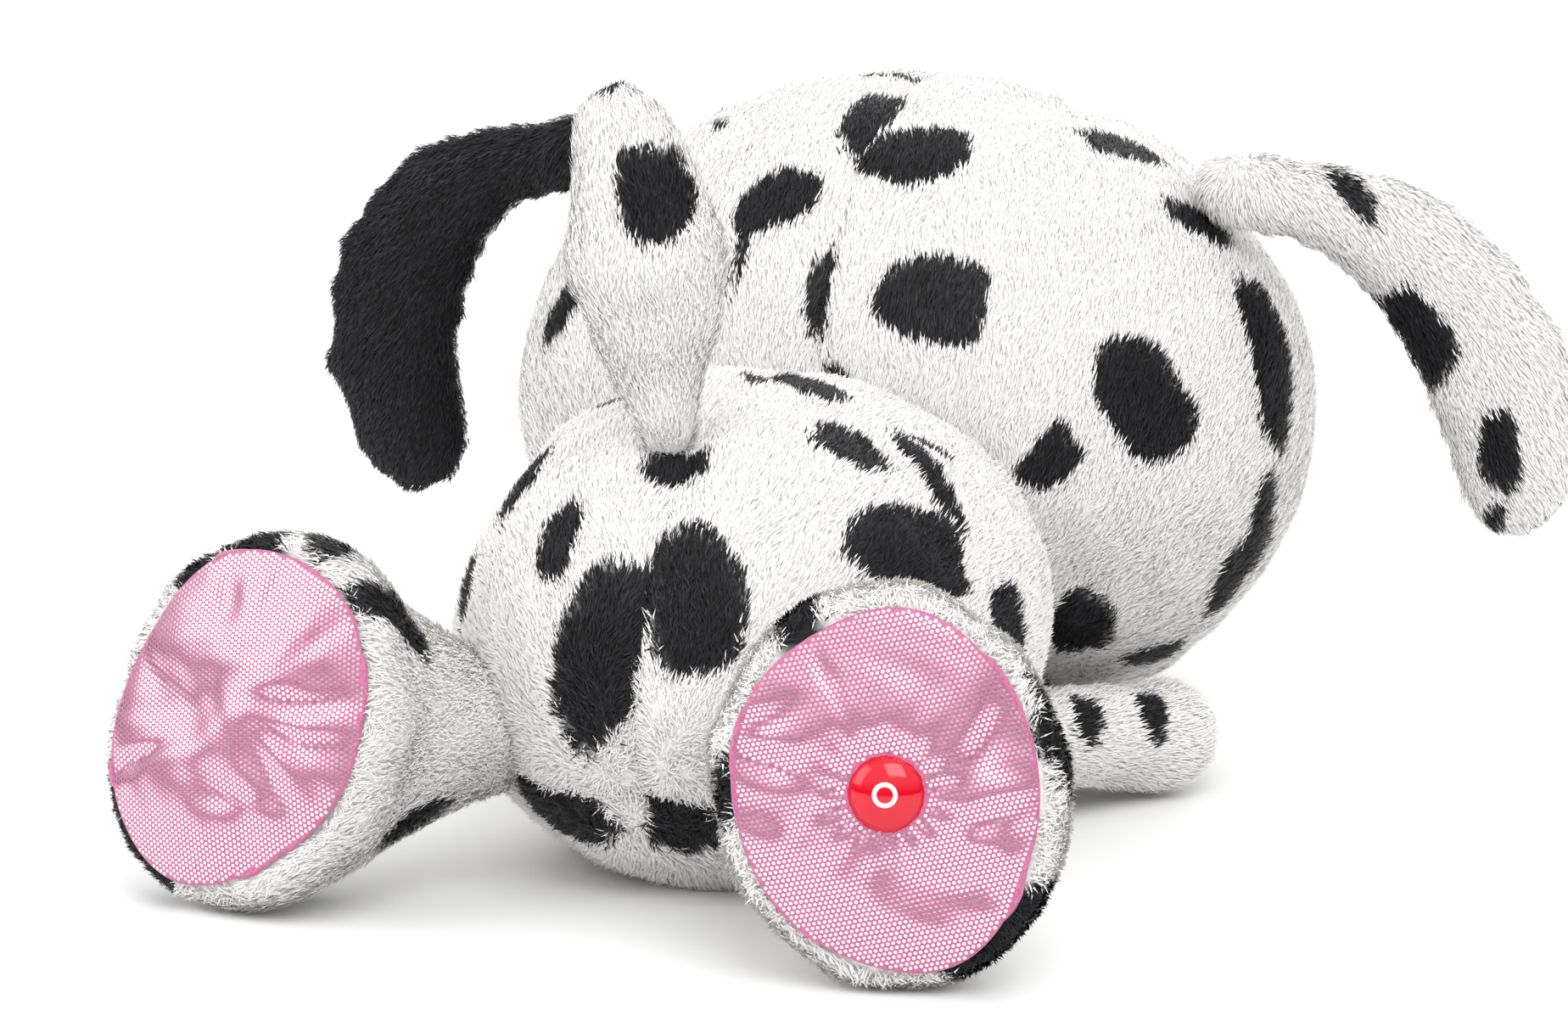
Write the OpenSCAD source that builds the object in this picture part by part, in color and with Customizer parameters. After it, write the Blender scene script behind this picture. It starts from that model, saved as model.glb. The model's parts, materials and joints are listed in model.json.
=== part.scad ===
// Plush dog lying on its belly, sewn from short-pile fabric over stuffing.
// The dog faces -Y and rests on Z = 0; its own left side is +X.

/* [Torso] */
// Width across the belly
torso_w = 104; // [92:1:116]
// Length from chest to rump
torso_l = 120; // [106:1:134]
// Height of the back above the floor
torso_h = 84; // [76:1:92]
// How far the round belly is pressed flat by lying on it
belly_press = 8; // [5:1:12]
// Height of the seam that joins the belly panel to the back panels
belly_seam_z = 20; // [14:1:28]
// Length of the bead bag in the belly
bead_bag_l = 62; // [46:1:70]
// Width of the bead bag in the belly
bead_bag_w = 54; // [40:1:64]
// Thickness of the bead bag in the belly
bead_bag_t = 17; // [12:1:22]

/* [Head] */
// Width of the head
head_w = 152; // [140:1:164]
// Height of the head, which is also its length
head_d = 124; // [114:1:134]
// Gap between the lowest point of the head and the floor
head_lift = 0.3; // [0.2:0.1:2]
// Half width of the centre panel of the head
centre_panel_half_w = 25; // [18:1:32]
// Width of the muzzle
muzzle_w = 62; // [52:1:70]
// Height of the muzzle
muzzle_h = 44; // [38:1:48]
// Distance from the front of the head to the front of the muzzle
muzzle_out = 12; // [8:1:16]
// How far the middle of the muzzle lies inside the front of the head
muzzle_sink = 9; // [5:1:12]
// Height of the middle of the muzzle above the floor
muzzle_z = 44; // [38:1:50]
// Width of the nose
nose_w = 19; // [14:1:24]
// Diameter of an eye
eye_d = 11; // [8:0.5:14]
// Sideways angle from the middle of the face to an eye
eye_side = 21; // [16:1:30]
// Height angle of an eye above the middle of the head
eye_up = 9; // [2:1:18]

/* [Neck] */
// Radius of the stuffed neck ball
neck_r = 29; // [25:0.5:32]
// How far the neck ball's centre lies inside the chest
neck_inset = 19; // [15:0.5:24]
// How far the neck ball's centre lies inside the back of the head
neck_sink = 15; // [11:0.5:19]
// Height of the neck ball's centre above the floor
neck_z = 50; // [46:0.5:54]
// Room left round the neck so that the head can nod
neck_crease = 6.5; // [5:0.5:9]

/* [Ears] */
// Length of an ear along its middle
ear_len = 80; // [66:1:92]
// Width of an ear
ear_w = 28; // [22:1:34]
// Thickness of an ear
ear_t = 12; // [9:0.5:15]
// Radius of the gathered root of an ear
ear_root_r = 8; // [6.5:0.5:9]
// How far the ear's root stands off the head
ear_stand = 6; // [5:0.5:7]
// Slope of the right ear at its root, downwards from level
ear_right_start = 6; // [-10:1:20]
// Slope of the right ear at its tip
ear_right_end = 76; // [50:1:95]
// Slope of the left ear at its root, downwards from level
ear_left_start = 6; // [-10:1:20]
// Slope of the left ear at its tip
ear_left_end = 100; // [80:1:108]

/* [Tail] */
// Length of the tail from its root to the middle of its tip
tail_len = 55; // [44:1:66]
// Radius of the tail at its root
tail_root_r = 7; // [6:0.5:8]
// Radius of the tail at its widest
tail_mid_r = 12.5; // [10:0.5:15]
// Radius of the tail's tip
tail_tip_r = 8.8; // [7:0.1:11]
// Sideways lean of the tail
tail_lean = 7; // [-15:1:20]

/* [Rear legs] */
// Radius of the stuffed hip ball
hip_r = 13; // [11:0.5:14]
// Distance from the hip to the middle of the foot
leg_len = 39.5; // [36:0.5:46]
// Width of a rear foot
foot_w = 59; // [50:1:66]
// Height of a rear foot
foot_h = 67; // [58:1:74]
// Depth of a rear foot's cushion
foot_t = 28; // [22:1:34]
// Distance from the middle of the foot's cushion to the sole
sole_out = 6.4; // [5.6:0.2:8]
// Width of the sole fabric
sole_w = 50; // [42:1:56]
// Height of the sole fabric
sole_h = 59; // [50:1:66]
// Thickness of the sole fabric
sole_t = 1.2; // [0.8:0.1:2]
// Diameter of the round button on the right sole
button_d = 13.2; // [10:0.2:16]
// Height of the button's dome
button_h = 4.2; // [3:0.1:6]

/* [Front legs] */
// Radius of the stuffed shoulder ball
shoulder_r = 9.5; // [8:0.5:10.5]
// Distance from the shoulder to the middle of the paw
arm_len = 35; // [30:1:42]
// Radius of a front paw
paw_r = 11; // [9:0.5:12]
// Outward angle of a front leg
arm_splay = 30; // [24:1:42]

/* [Fabric and fits] */
// Thickness of the plush fabric with its pile pressed down
skin_t = 2.5; // [1.8:0.1:3.2]
// Clearance round a stuffed ball in its seat
seat_gap = 0.4; // [0.3:0.05:0.6]
// Clearance between a cover and what fills it
fill_gap = 0.2; // [0.1:0.05:0.4]
// Radius of the shank of an eye, nose or button
shank_r = 2; // [1.5:0.1:2.6]
// Clearance round a shank in the fabric
shank_gap = 0.15; // [0.1:0.05:0.3]
// Radius of a locking washer
washer_r = 6; // [5:0.5:8]
// Thickness of a locking washer
washer_t = 1.4; // [1:0.1:2]

/* [Hidden] */

LEFT = 1;
RIGHT = -1;
FAR = 400;          // larger than the whole toy
BALL_FN = 48;       // segments of a true sphere
CHAIN_FN = 18;      // segments of a blob in an ear's hulled chain
LEG_FN = 24;        // segments of a ring in a leg's hulled trumpet
CHAIN_STEPS = 8;    // links in a hulled chain

torso_r = [torso_w / 2, torso_l / 2, (torso_h + belly_press) / 2];
torso_c = [0, 0, torso_h - torso_r.z];
head_r = [head_w / 2, head_d / 2, head_d / 2];
neck_c = [0, -(torso_r.y - neck_inset), neck_z];
head_c = [0, neck_c.y - (head_r.y - neck_sink), head_r.z + head_lift];
// The chest is cut by a ball that is flatter than the head, so that the crease opens outwards
crease_ball_shift = 12;
crease_ball_r = head_r.y + neck_crease + crease_ball_shift;

// A point on an ellipsoid: az turns from +Y towards +X, el rises towards +Z
function on_round(c, r, az, el) =
    c + [r.x * cos(el) * sin(az), r.y * cos(el) * cos(az), r.z * sin(el)];
function unit(v) = v / norm(v);
function grown(r, t) = r + [t, t, t];

hip_az = 49;
hip_el = -14;
shoulder_az = 118;
shoulder_el = -29;
tail_az = 10;
tail_el = 60;
ear_az = 85;
ear_el = 42;

function side_point(s, c, r, az, el) =
    let (p = on_round(c, r, az, el)) [s * p.x, p.y, p.z];
function hip(s) = side_point(s, torso_c, torso_r, hip_az, hip_el);
function shoulder(s) = side_point(s, torso_c, torso_r, shoulder_az, shoulder_el);
tail_c = on_round(torso_c, torso_r, tail_az, tail_el);
ear_normal = unit([cos(ear_el) / head_r.x, 0, sin(ear_el) / head_r.z]);
ear_seat = on_round(head_c, head_r, ear_az, ear_el) + ear_stand * ear_normal;
function ear_root(s) = [s * ear_seat.x, ear_seat.y, ear_seat.z];

// Rear foot: where it lies and how its sole is turned, for each side
leg_swing = [43, 20];       // outward angle of the leg, left then right
foot_yaw = [14, 14];        // outward turn of the sole
foot_pitch = [16, 8];       // upward turn of the sole
foot_roll = [22, 12];       // inward lean of the sole's long axis
function side_index(s) = s == LEFT ? 0 : 1;
// Height of the middle of the turned cushion when it rests on the floor
function foot_rest_z(i) = norm([
    foot_w / 2 * cos(foot_pitch[i]) * sin(foot_roll[i]),
    foot_t / 2 * sin(foot_pitch[i]),
    foot_h / 2 * cos(foot_pitch[i]) * cos(foot_roll[i])]);
function foot_c(s) = let (i = side_index(s), a = leg_swing[i], h = hip(s))
    [h.x + s * leg_len * sin(a), h.y + leg_len * cos(a), foot_rest_z(i)];

// Front leg
paw_turn = 180 - arm_splay;
paw_lift = 0.1;     // gap between a front paw and the floor
function paw_c(s) = let (h = shoulder(s))
    [h.x + s * arm_len * sin(paw_turn), h.y + arm_len * cos(paw_turn), paw_r + paw_lift];

function leg_dir(s) = unit(foot_c(s) - hip(s));
function arm_dir(s) = unit(paw_c(s) - shoulder(s));
tail_dir = unit([sin(tail_lean), 0.06, cos(tail_lean)]);

// How wide each seat opens, so that the limb can swing
leg_spread = 16;
arm_spread = 8;
tail_spread = 38;
waist = 0.5;        // how much narrower a limb is between its knobs

// ---------- shared shapes ----------

module round_body(c, r) {
    translate(c) scale(r) sphere(r = 1, $fn = BALL_FN);
}

// The same, with its poles to the sides
module side_round_body(c, r) {
    translate(c) rotate([0, 90, 0]) scale([r.z, r.y, r.x]) sphere(r = 1, $fn = BALL_FN);
}

// The same, with its poles to the front and back
module front_round_body(c, r) {
    translate(c) rotate([90, 0, 0]) scale([r.x, r.z, r.y]) sphere(r = 1, $fn = BALL_FN);
}

module ball(c, r) {
    translate(c) sphere(r = r, $fn = BALL_FN);
}

module along(p, d) {
    translate(p) rotate([0, acos(d.z), atan2(d.y, d.x)]) children();
}

// Half the outline of a limb made of round knobs on one axis, each [height, radius]
module limb_outline(knobs, inset) {
    intersection() {
        union() {
            for (k = knobs)
                translate([0, k[0]]) circle(r = k[1] - inset, $fn = BALL_FN);
            for (i = [1:len(knobs) - 1])
                polygon([
                    [0, knobs[i - 1][0]], [knobs[i - 1][1] - inset - waist, knobs[i - 1][0]],
                    [knobs[i][1] - inset - waist, knobs[i][0]], [0, knobs[i][0]]]);
        }
        translate([0, -FAR / 2]) square([FAR / 2, FAR]);
    }
}

root_hole = 0.5;    // width of a cover's open root as a share of its ball

// A limb turned about its axis; the cover is open at its root, where it is sewn on
module limb_cover(root, d, knobs) {
    along(root, d) rotate_extrude($fn = BALL_FN) difference() {
        limb_outline(knobs, 0);
        limb_outline(knobs, skin_t);
        translate([-1, -knobs[0][1] * 2]) square([knobs[0][1] * root_hole + 1, knobs[0][1] * 2]);
    }
}

module limb_filling(root, d, knobs) {
    along(root, d) rotate_extrude($fn = BALL_FN) limb_outline(knobs, skin_t + fill_gap);
}

// The room that a limb's ball and its root need in the skin that carries it
module limb_seat(root, d, r, gap, spread) {
    wide = r + gap;
    depth = r * 2;
    along(root, d) rotate_extrude($fn = BALL_FN) {
        intersection() {
            circle(r = wide, $fn = BALL_FN);
            translate([0, -FAR]) square([FAR, FAR]);
        }
        polygon([[0, 0], [wide, 0], [wide + depth * tan(spread), depth], [0, depth]]);
    }
}

// A smooth body through blobs, each [centre, radii]
module chain(blobs) {
    for (i = [1:len(blobs) - 1])
        hull() {
            chain_blob(blobs[i - 1]);
            chain_blob(blobs[i]);
        }
}

module chain_blob(b) {
    translate(b[0]) scale(b[1]) sphere(r = 1, $fn = CHAIN_FN);
}

// The same room in the stuffing, as a ball and a cone
module limb_hollow(root, d, r, gap, spread) {
    ball(root, r + gap);
    along(root, d)
        cylinder(h = r * 2, r1 = r + gap, r2 = r + gap + r * 2 * tan(spread), $fn = BALL_FN);
}

// ---------- torso ----------

module limb_seats() {
    for (s = [LEFT, RIGHT]) {
        limb_seat(hip(s), leg_dir(s), hip_r, seat_gap, leg_spread);
        limb_seat(shoulder(s), arm_dir(s), shoulder_r, seat_gap, arm_spread);
    }
    limb_seat(tail_c, tail_dir, tail_root_r, seat_gap, tail_spread);
}

module limb_hollows() {
    for (s = [LEFT, RIGHT]) {
        limb_hollow(hip(s), leg_dir(s), hip_r, seat_gap, leg_spread);
        limb_hollow(shoulder(s), arm_dir(s), shoulder_r, seat_gap, arm_spread);
    }
    limb_hollow(tail_c, tail_dir, tail_root_r, seat_gap, tail_spread);
}

module torso_cuts() {
    below(0);
    ball(head_c - [0, crease_ball_shift, 0], crease_ball_r);
    ball(neck_c, neck_r + fill_gap);
}

module torso_shell() {
    difference() {
        round_body(torso_c, torso_r);
        difference() {
            round_body(torso_c, grown(torso_r, -skin_t));
            below(skin_t);
        }
        torso_cuts();
        limb_seats();
    }
}

module back_panel(s) {
    intersection() {
        torso_shell();
        translate([s * FAR / 2, 0, belly_seam_z + FAR / 2]) cube(FAR, center = true);
    }
}

module back_panel_left() {
    color("white") back_panel(LEFT);
}

module back_panel_right() {
    color("whitesmoke") back_panel(RIGHT);
}

module belly_panel() {
    color("ghostwhite") intersection() {
        torso_shell();
        translate([0, 0, belly_seam_z - FAR / 2]) cube(FAR, center = true);
    }
}

// The bag lies flat on the belly panel, so a quarter of its round height is pressed in
bag_pressed = 0.25;
belly_inside_z = skin_t + fill_gap;
bead_bag_c = [0, 0, belly_inside_z + bead_bag_t * bag_pressed];

module bead_bag_shape(gap) {
    round_body(bead_bag_c, grown([bead_bag_w / 2, bead_bag_l / 2,
        bead_bag_t * (1 - bag_pressed)], gap));
}

module below(z) {
    translate([0, 0, z - FAR / 2]) cube(FAR, center = true);
}

module torso_stuffing() {
    color("gainsboro") difference() {
        round_body(torso_c, grown(torso_r, -skin_t - fill_gap));
        below(belly_inside_z);
        ball(head_c - [0, crease_ball_shift, 0], crease_ball_r + fill_gap);
        ball(neck_c, neck_r + fill_gap);
        limb_hollows();
        bead_bag_shape(fill_gap);
    }
}

module bead_bag() {
    color("tan") difference() {
        bead_bag_shape(0);
        below(belly_inside_z);
    }
}

module neck_stuffing() {
    color("lightgray") ball(neck_c, neck_r);
}

// ---------- head ----------

eye_az = 180 - eye_side;
function eye_point(s) = side_point(s, head_c, head_r, eye_az, eye_up);
function eye_axis(s) = let (c = cos(eye_up))
    unit([s * c * sin(eye_az) / head_r.x, c * cos(eye_az) / head_r.y, sin(eye_up) / head_r.z]);
muzzle_c = [0, head_c.y - head_r.y + muzzle_sink, muzzle_z];
muzzle_r = [muzzle_w / 2, muzzle_out + muzzle_sink, muzzle_h / 2];
nose_rise = 28;
nose_c = on_round(muzzle_c, muzzle_r, 180, nose_rise);
nose_axis = unit([0, -cos(nose_rise) / muzzle_r.y, sin(nose_rise) / muzzle_r.z]);
nose_flat = 0.63;   // depth and height of the nose as shares of its width
nose_r = [nose_w / 2, nose_w / 2 * nose_flat, nose_w / 2 * nose_flat];

module shank_hole(p, d) {
    along(p, d) translate([0, 0, -washer_r * 3])
        cylinder(h = washer_r * 6, r = shank_r + shank_gap, $fn = BALL_FN);
}

shank_spare = 3;    // how far a shank reaches past its washer
shank_len = skin_t + washer_t + shank_spare;

module head_openings() {
    ball(neck_c, neck_r + seat_gap);
    for (s = [LEFT, RIGHT])
        ball(ear_root(s), ear_root_r + seat_gap);
}

// The part of the head's skin between two planes across X
module head_panel(x0, x1) {
    difference() {
        intersection() {
            side_round_body(head_c, head_r);
            translate([x0, head_c.y - FAR / 2, head_c.z - FAR / 2]) cube([x1 - x0, FAR, FAR]);
        }
        side_round_body(head_c, grown(head_r, -skin_t));
        head_openings();
        for (s = [LEFT, RIGHT])
            shank_hole(eye_point(s), eye_axis(s));
    }
}

module head_centre_panel() {
    color("snow") head_panel(-centre_panel_half_w, centre_panel_half_w);
}

module head_side_panel_left() {
    color("white") head_panel(centre_panel_half_w, head_r.x + 1);
}

module head_side_panel_right() {
    color("white") mirror([1, 0, 0]) head_panel(centre_panel_half_w, head_r.x + 1);
}

module washer_room(p, d, deep) {
    along(p, d) translate([0, 0, -deep])
        cylinder(h = deep, r = washer_r + fill_gap, $fn = BALL_FN);
}

module head_stuffing() {
    color("gainsboro") difference() {
        front_round_body(head_c, grown(head_r, -skin_t - fill_gap));
        head_openings();
        for (s = [LEFT, RIGHT])
            washer_room(eye_point(s), eye_axis(s), shank_len + 1);
    }
}

module muzzle_cover() {
    color("white") difference() {
        front_round_body(muzzle_c, muzzle_r);
        front_round_body(muzzle_c, grown(muzzle_r, -skin_t));
        side_round_body(head_c, grown(head_r, fill_gap));
        shank_hole(nose_c, nose_axis);
    }
}

module muzzle_stuffing() {
    color("gainsboro") difference() {
        front_round_body(muzzle_c, grown(muzzle_r, -skin_t - fill_gap));
        side_round_body(head_c, grown(head_r, fill_gap));
        washer_room(nose_c, nose_axis, shank_len + 1);
    }
}

module nose() {
    color("black") {
        difference() {
            along(nose_c, nose_axis) scale([nose_r.z, nose_r.x, nose_r.y])
                sphere(r = 1, $fn = BALL_FN);
            front_round_body(muzzle_c, grown(muzzle_r, fill_gap));
        }
        along(nose_c, nose_axis) translate([0, 0, -shank_len])
            cylinder(h = shank_len + nose_r.y / 2, r = shank_r, $fn = BALL_FN);
    }
}

washer_bite = 0.05; // room between a shank and the washer that grips it

// A locking washer pushed up a shank until it meets the back of the fabric
module washer_on(p, d, depth) {
    along(p, d) translate([0, 0, -depth - washer_t]) difference() {
        cylinder(h = washer_t, r = washer_r, $fn = BALL_FN);
        translate([0, 0, -1]) cylinder(h = washer_t + 2, r = shank_r + washer_bite, $fn = BALL_FN);
    }
}

// The fabric curves away behind a flat washer by about its sagitta
washer_sagitta = 0.9;
washer_depth = skin_t + washer_sagitta;

module nose_washer() {
    color("dimgray") washer_on(nose_c, nose_axis, washer_depth);
}

// An eye is the cap of a ball, a little above the curve of the fabric
eye_stand = 0.6;
eye_sink = eye_d * 0.12;
eye_ball_r = eye_d / 2 + 0.3;

module eye(s) {
    color("black") along(eye_point(s), eye_axis(s)) {
        intersection() {
            translate([0, 0, eye_stand - eye_sink]) sphere(r = eye_ball_r, $fn = BALL_FN);
            translate([0, 0, eye_stand]) cylinder(h = eye_d, r = eye_d / 2, $fn = BALL_FN);
        }
        translate([0, 0, -shank_len])
            cylinder(h = shank_len + eye_stand + 1, r = shank_r, $fn = BALL_FN);
    }
}

module eye_left() {
    eye(LEFT);
}

module eye_right() {
    eye(RIGHT);
}

module eye_washers() {
    color("dimgray")
        for (s = [LEFT, RIGHT])
            washer_on(eye_point(s), eye_axis(s), washer_depth);
}

// ---------- ears ----------

// A point on the ear's middle line, a fraction t of the way to the tip
function ear_point(s, t) = let (
    a0 = s == LEFT ? ear_left_start : ear_right_start,
    a1 = s == LEFT ? ear_left_end : ear_right_end,
    bend = (a1 - a0) * PI / 180,
    a = a0 + (a1 - a0) * t,
    reach = ear_len / bend)
    ear_root(s) + [s * reach * (sin(a) - sin(a0)), 0, -reach * (cos(a0) - cos(a))];

// The ear widens from its root, is widest three quarters along, and narrows a little
ear_swell_angle = 112;
ear_swell_power = 1.8;
function ear_half_w(t) =
    ear_root_r + (ear_w / 2 - ear_root_r) * pow(sin(ear_swell_angle * t), ear_swell_power);

function ear_blobs(s, inset) = [
    for (i = [0:CHAIN_STEPS])
        let (t = i / CHAIN_STEPS, half = ear_half_w(t) - inset,
             thick = (i == 0 ? ear_root_r : ear_t / 2) - inset)
            [ear_point(s, t), [half, thick, half]]
];

// One fabric layer of an ear: side 1 is the outer layer behind, side -1 the lining in front
module ear_layer(s, side) {
    intersection() {
        difference() {
            chain(ear_blobs(s, 0));
            chain(ear_blobs(s, skin_t));
        }
        translate([0, ear_root(s).y + side * FAR / 2, 0]) cube(FAR, center = true);
    }
}

module ear_left_outer() {
    color("black") ear_layer(LEFT, 1);
}

module ear_left_lining() {
    color("black") ear_layer(LEFT, -1);
}

module ear_left_padding() {
    color("gainsboro") chain(ear_blobs(LEFT, skin_t + fill_gap));
}

module ear_right_outer() {
    color("white") ear_layer(RIGHT, 1);
}

module ear_right_lining() {
    color("white") ear_layer(RIGHT, -1);
}

module ear_right_padding() {
    color("gainsboro") chain(ear_blobs(RIGHT, skin_t + fill_gap));
}

// ---------- tail ----------

tail_widest = 0.6;  // how far along the tail it is widest
tail_knobs = [[0, tail_root_r], [tail_len * tail_widest, tail_mid_r], [tail_len, tail_tip_r]];

module tail_cover() {
    color("white") limb_cover(tail_c, tail_dir, tail_knobs);
}

module tail_stuffing() {
    color("gainsboro") limb_filling(tail_c, tail_dir, tail_knobs);
}

// ---------- rear legs ----------

module at_foot(s) {
    i = side_index(s);
    translate(foot_c(s)) rotate([0, 0, -s * foot_yaw[i]]) rotate([foot_pitch[i], 0, 0])
        rotate([0, -s * foot_roll[i], 0]) children();
}

// The leg is a trumpet: narrow at the hip ball and wide at the foot's cushion
module leg_trumpet(s, inset) {
    for (i = [0:CHAIN_STEPS - 1])
        hull() {
            leg_ring(s, i / CHAIN_STEPS, inset);
            leg_ring(s, (i + 1) / CHAIN_STEPS, inset);
        }
}

leg_flare_power = 2.2;
function leg_flare(t) = pow(t, leg_flare_power);

module leg_ring(s, t, inset) {
    i = side_index(s);
    f = leg_flare(t);
    centre = hip(s) * (1 - t) + foot_c(s) * t;
    cushion = [foot_w / 2, foot_t / 2, foot_h / 2];
    start = [hip_r, hip_r, hip_r];
    radii = start * (1 - f) + cushion * f - [inset, inset, inset];
    translate(centre) rotate([0, 0, -s * foot_yaw[i] * t]) rotate([foot_pitch[i] * t, 0, 0])
        rotate([0, -s * foot_roll[i] * t, 0]) scale(radii) sphere(r = 1, $fn = LEG_FN);
}

// Everything beyond the plane of the sole
module beyond_sole(s, back) {
    at_foot(s) translate([0, sole_out - back + FAR / 2, 0]) cube(FAR, center = true);
}

module rear_leg_cover(s) {
    difference() {
        leg_trumpet(s, 0);
        difference() {
            leg_trumpet(s, skin_t);
            beyond_sole(s, -1);
        }
        beyond_sole(s, 0);
    }
}

module rear_leg_stuffing(s) {
    difference() {
        leg_trumpet(s, skin_t + fill_gap);
        beyond_sole(s, fill_gap);
        if (s == RIGHT)
            at_foot(s) translate([0, sole_out, 0]) rotate([90, 0, 0])
                cylinder(h = button_shank_len + 1, r = washer_r + fill_gap, $fn = BALL_FN);
    }
}

module rear_leg_left_cover() {
    color("white") rear_leg_cover(LEFT);
}

module rear_leg_left_stuffing() {
    color("gainsboro") rear_leg_stuffing(LEFT);
}

module rear_leg_right_cover() {
    color("white") rear_leg_cover(RIGHT);
}

module rear_leg_right_stuffing() {
    color("gainsboro") rear_leg_stuffing(RIGHT);
}

module sole(s) {
    at_foot(s) translate([0, sole_out + sole_t, 0]) rotate([90, 0, 0])
        difference() {
            scale([sole_w / 2, sole_h / 2, 1]) cylinder(h = sole_t, r = 1, $fn = BALL_FN);
            if (s == RIGHT)
                translate([0, 0, -1])
                    cylinder(h = sole_t + 2, r = shank_r + shank_gap, $fn = BALL_FN);
        }
}

module sole_left() {
    color("pink") sole(LEFT);
}

module sole_right() {
    color("pink") sole(RIGHT);
}

button_shank_len = washer_t + shank_spare;
button_dome_r = (pow(button_d / 2, 2) + pow(button_h, 2)) / (2 * button_h);

module sole_button() {
    color("crimson") at_foot(RIGHT) translate([0, sole_out + sole_t, 0]) rotate([-90, 0, 0]) {
        intersection() {
            translate([0, 0, button_h - button_dome_r]) sphere(r = button_dome_r, $fn = BALL_FN);
            cylinder(h = button_h + 1, r = button_d / 2 + 1, $fn = BALL_FN);
        }
        translate([0, 0, -sole_t - button_shank_len])
            cylinder(h = sole_t + button_shank_len + 1, r = shank_r, $fn = BALL_FN);
    }
}

module button_washer() {
    color("dimgray") at_foot(RIGHT) translate([0, sole_out, 0]) rotate([90, 0, 0])
        difference() {
            cylinder(h = washer_t, r = washer_r, $fn = BALL_FN);
            translate([0, 0, -1])
                cylinder(h = washer_t + 2, r = shank_r + washer_bite, $fn = BALL_FN);
        }
}

// ---------- front legs ----------

function arm_knobs(s) = [[0, shoulder_r], [norm(paw_c(s) - shoulder(s)), paw_r]];

module front_leg_cover(s) {
    limb_cover(shoulder(s), arm_dir(s), arm_knobs(s));
}

module front_leg_stuffing(s) {
    limb_filling(shoulder(s), arm_dir(s), arm_knobs(s));
}

module front_leg_left_cover() {
    color("white") front_leg_cover(LEFT);
}

module front_leg_left_stuffing() {
    color("gainsboro") front_leg_stuffing(LEFT);
}

module front_leg_right_cover() {
    color("white") front_leg_cover(RIGHT);
}

module front_leg_right_stuffing() {
    color("gainsboro") front_leg_stuffing(RIGHT);
}

back_panel_left();
back_panel_right();
belly_panel();
torso_stuffing();
bead_bag();
neck_stuffing();
head_centre_panel();
head_side_panel_left();
head_side_panel_right();
head_stuffing();
muzzle_cover();
muzzle_stuffing();
nose();
nose_washer();
eye_left();
eye_right();
eye_washers();
ear_left_outer();
ear_left_lining();
ear_left_padding();
ear_right_outer();
ear_right_lining();
ear_right_padding();
tail_cover();
tail_stuffing();
rear_leg_left_cover();
rear_leg_left_stuffing();
sole_left();
rear_leg_right_cover();
rear_leg_right_stuffing();
sole_right();
sole_button();
button_washer();
front_leg_left_cover();
front_leg_left_stuffing();
front_leg_right_cover();
front_leg_right_stuffing();
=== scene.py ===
"""The plush dog's looks: skins, pile, soles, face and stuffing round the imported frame.

The dog lies on its belly, faces -Y and has its own left side at +X. Sizes in the classes below
are in millimetres, in the frame's own axes, and become metres as each mesh is made.
"""

import json
import logging
import math
from collections.abc import Callable, Sequence
from dataclasses import dataclass, field
from enum import Enum

import bpy
import numpy as np
from mathutils import Matrix, Vector

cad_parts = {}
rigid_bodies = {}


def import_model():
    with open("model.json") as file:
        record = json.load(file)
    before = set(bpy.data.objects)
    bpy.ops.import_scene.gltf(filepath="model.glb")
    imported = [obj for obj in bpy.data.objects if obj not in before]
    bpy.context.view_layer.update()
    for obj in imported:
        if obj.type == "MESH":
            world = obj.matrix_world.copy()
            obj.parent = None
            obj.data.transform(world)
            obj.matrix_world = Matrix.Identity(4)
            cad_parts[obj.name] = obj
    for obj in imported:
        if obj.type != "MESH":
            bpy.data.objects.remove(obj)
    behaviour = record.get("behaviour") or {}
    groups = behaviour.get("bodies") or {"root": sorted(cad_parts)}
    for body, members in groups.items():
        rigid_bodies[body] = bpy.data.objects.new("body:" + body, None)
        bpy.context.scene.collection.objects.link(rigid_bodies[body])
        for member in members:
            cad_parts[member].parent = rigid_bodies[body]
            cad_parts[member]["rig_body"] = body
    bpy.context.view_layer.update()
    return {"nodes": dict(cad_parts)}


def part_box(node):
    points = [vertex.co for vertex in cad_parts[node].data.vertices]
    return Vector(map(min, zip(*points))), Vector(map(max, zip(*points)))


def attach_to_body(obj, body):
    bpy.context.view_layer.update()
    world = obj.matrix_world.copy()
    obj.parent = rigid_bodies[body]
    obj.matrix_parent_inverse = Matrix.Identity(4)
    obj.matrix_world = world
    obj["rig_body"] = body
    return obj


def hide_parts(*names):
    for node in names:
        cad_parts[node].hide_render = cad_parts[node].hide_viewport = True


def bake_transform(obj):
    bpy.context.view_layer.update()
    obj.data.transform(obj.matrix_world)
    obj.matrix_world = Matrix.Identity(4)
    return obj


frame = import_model()
LOG = logging.getLogger("plush_dog")
MM = 0.001
FLOOR_GAP = 0.2 * MM
SKIN_GAP = 0.6 * MM
CLOTH_FRAMES = 20
CLOTH_PRESSURE = 4

Triple = tuple[float, float, float]
Array = np.ndarray
Piece = bpy.types.Object
PerPoint = Callable[[Array], Array]


class Side(Enum):
    """Which side of the dog a piece belongs to; the value is the sign of its X."""

    LEFT = 1
    RIGHT = -1

    @property
    def word(self) -> str:
        """The side's name as the frame's nodes spell it."""
        return self.name.lower()


class Shade(Enum):
    """The four hair colours of the pile, the last a lighter bluish black that is a painted highlight on
    black hair; the value is the material's place on a pile piece.
    """

    WHITE = 0
    CREAM = 1
    BLACK = 2
    # A lighter bluish black: a painted highlight scattered at random over the black hair.
    SLATE = 3


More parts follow.
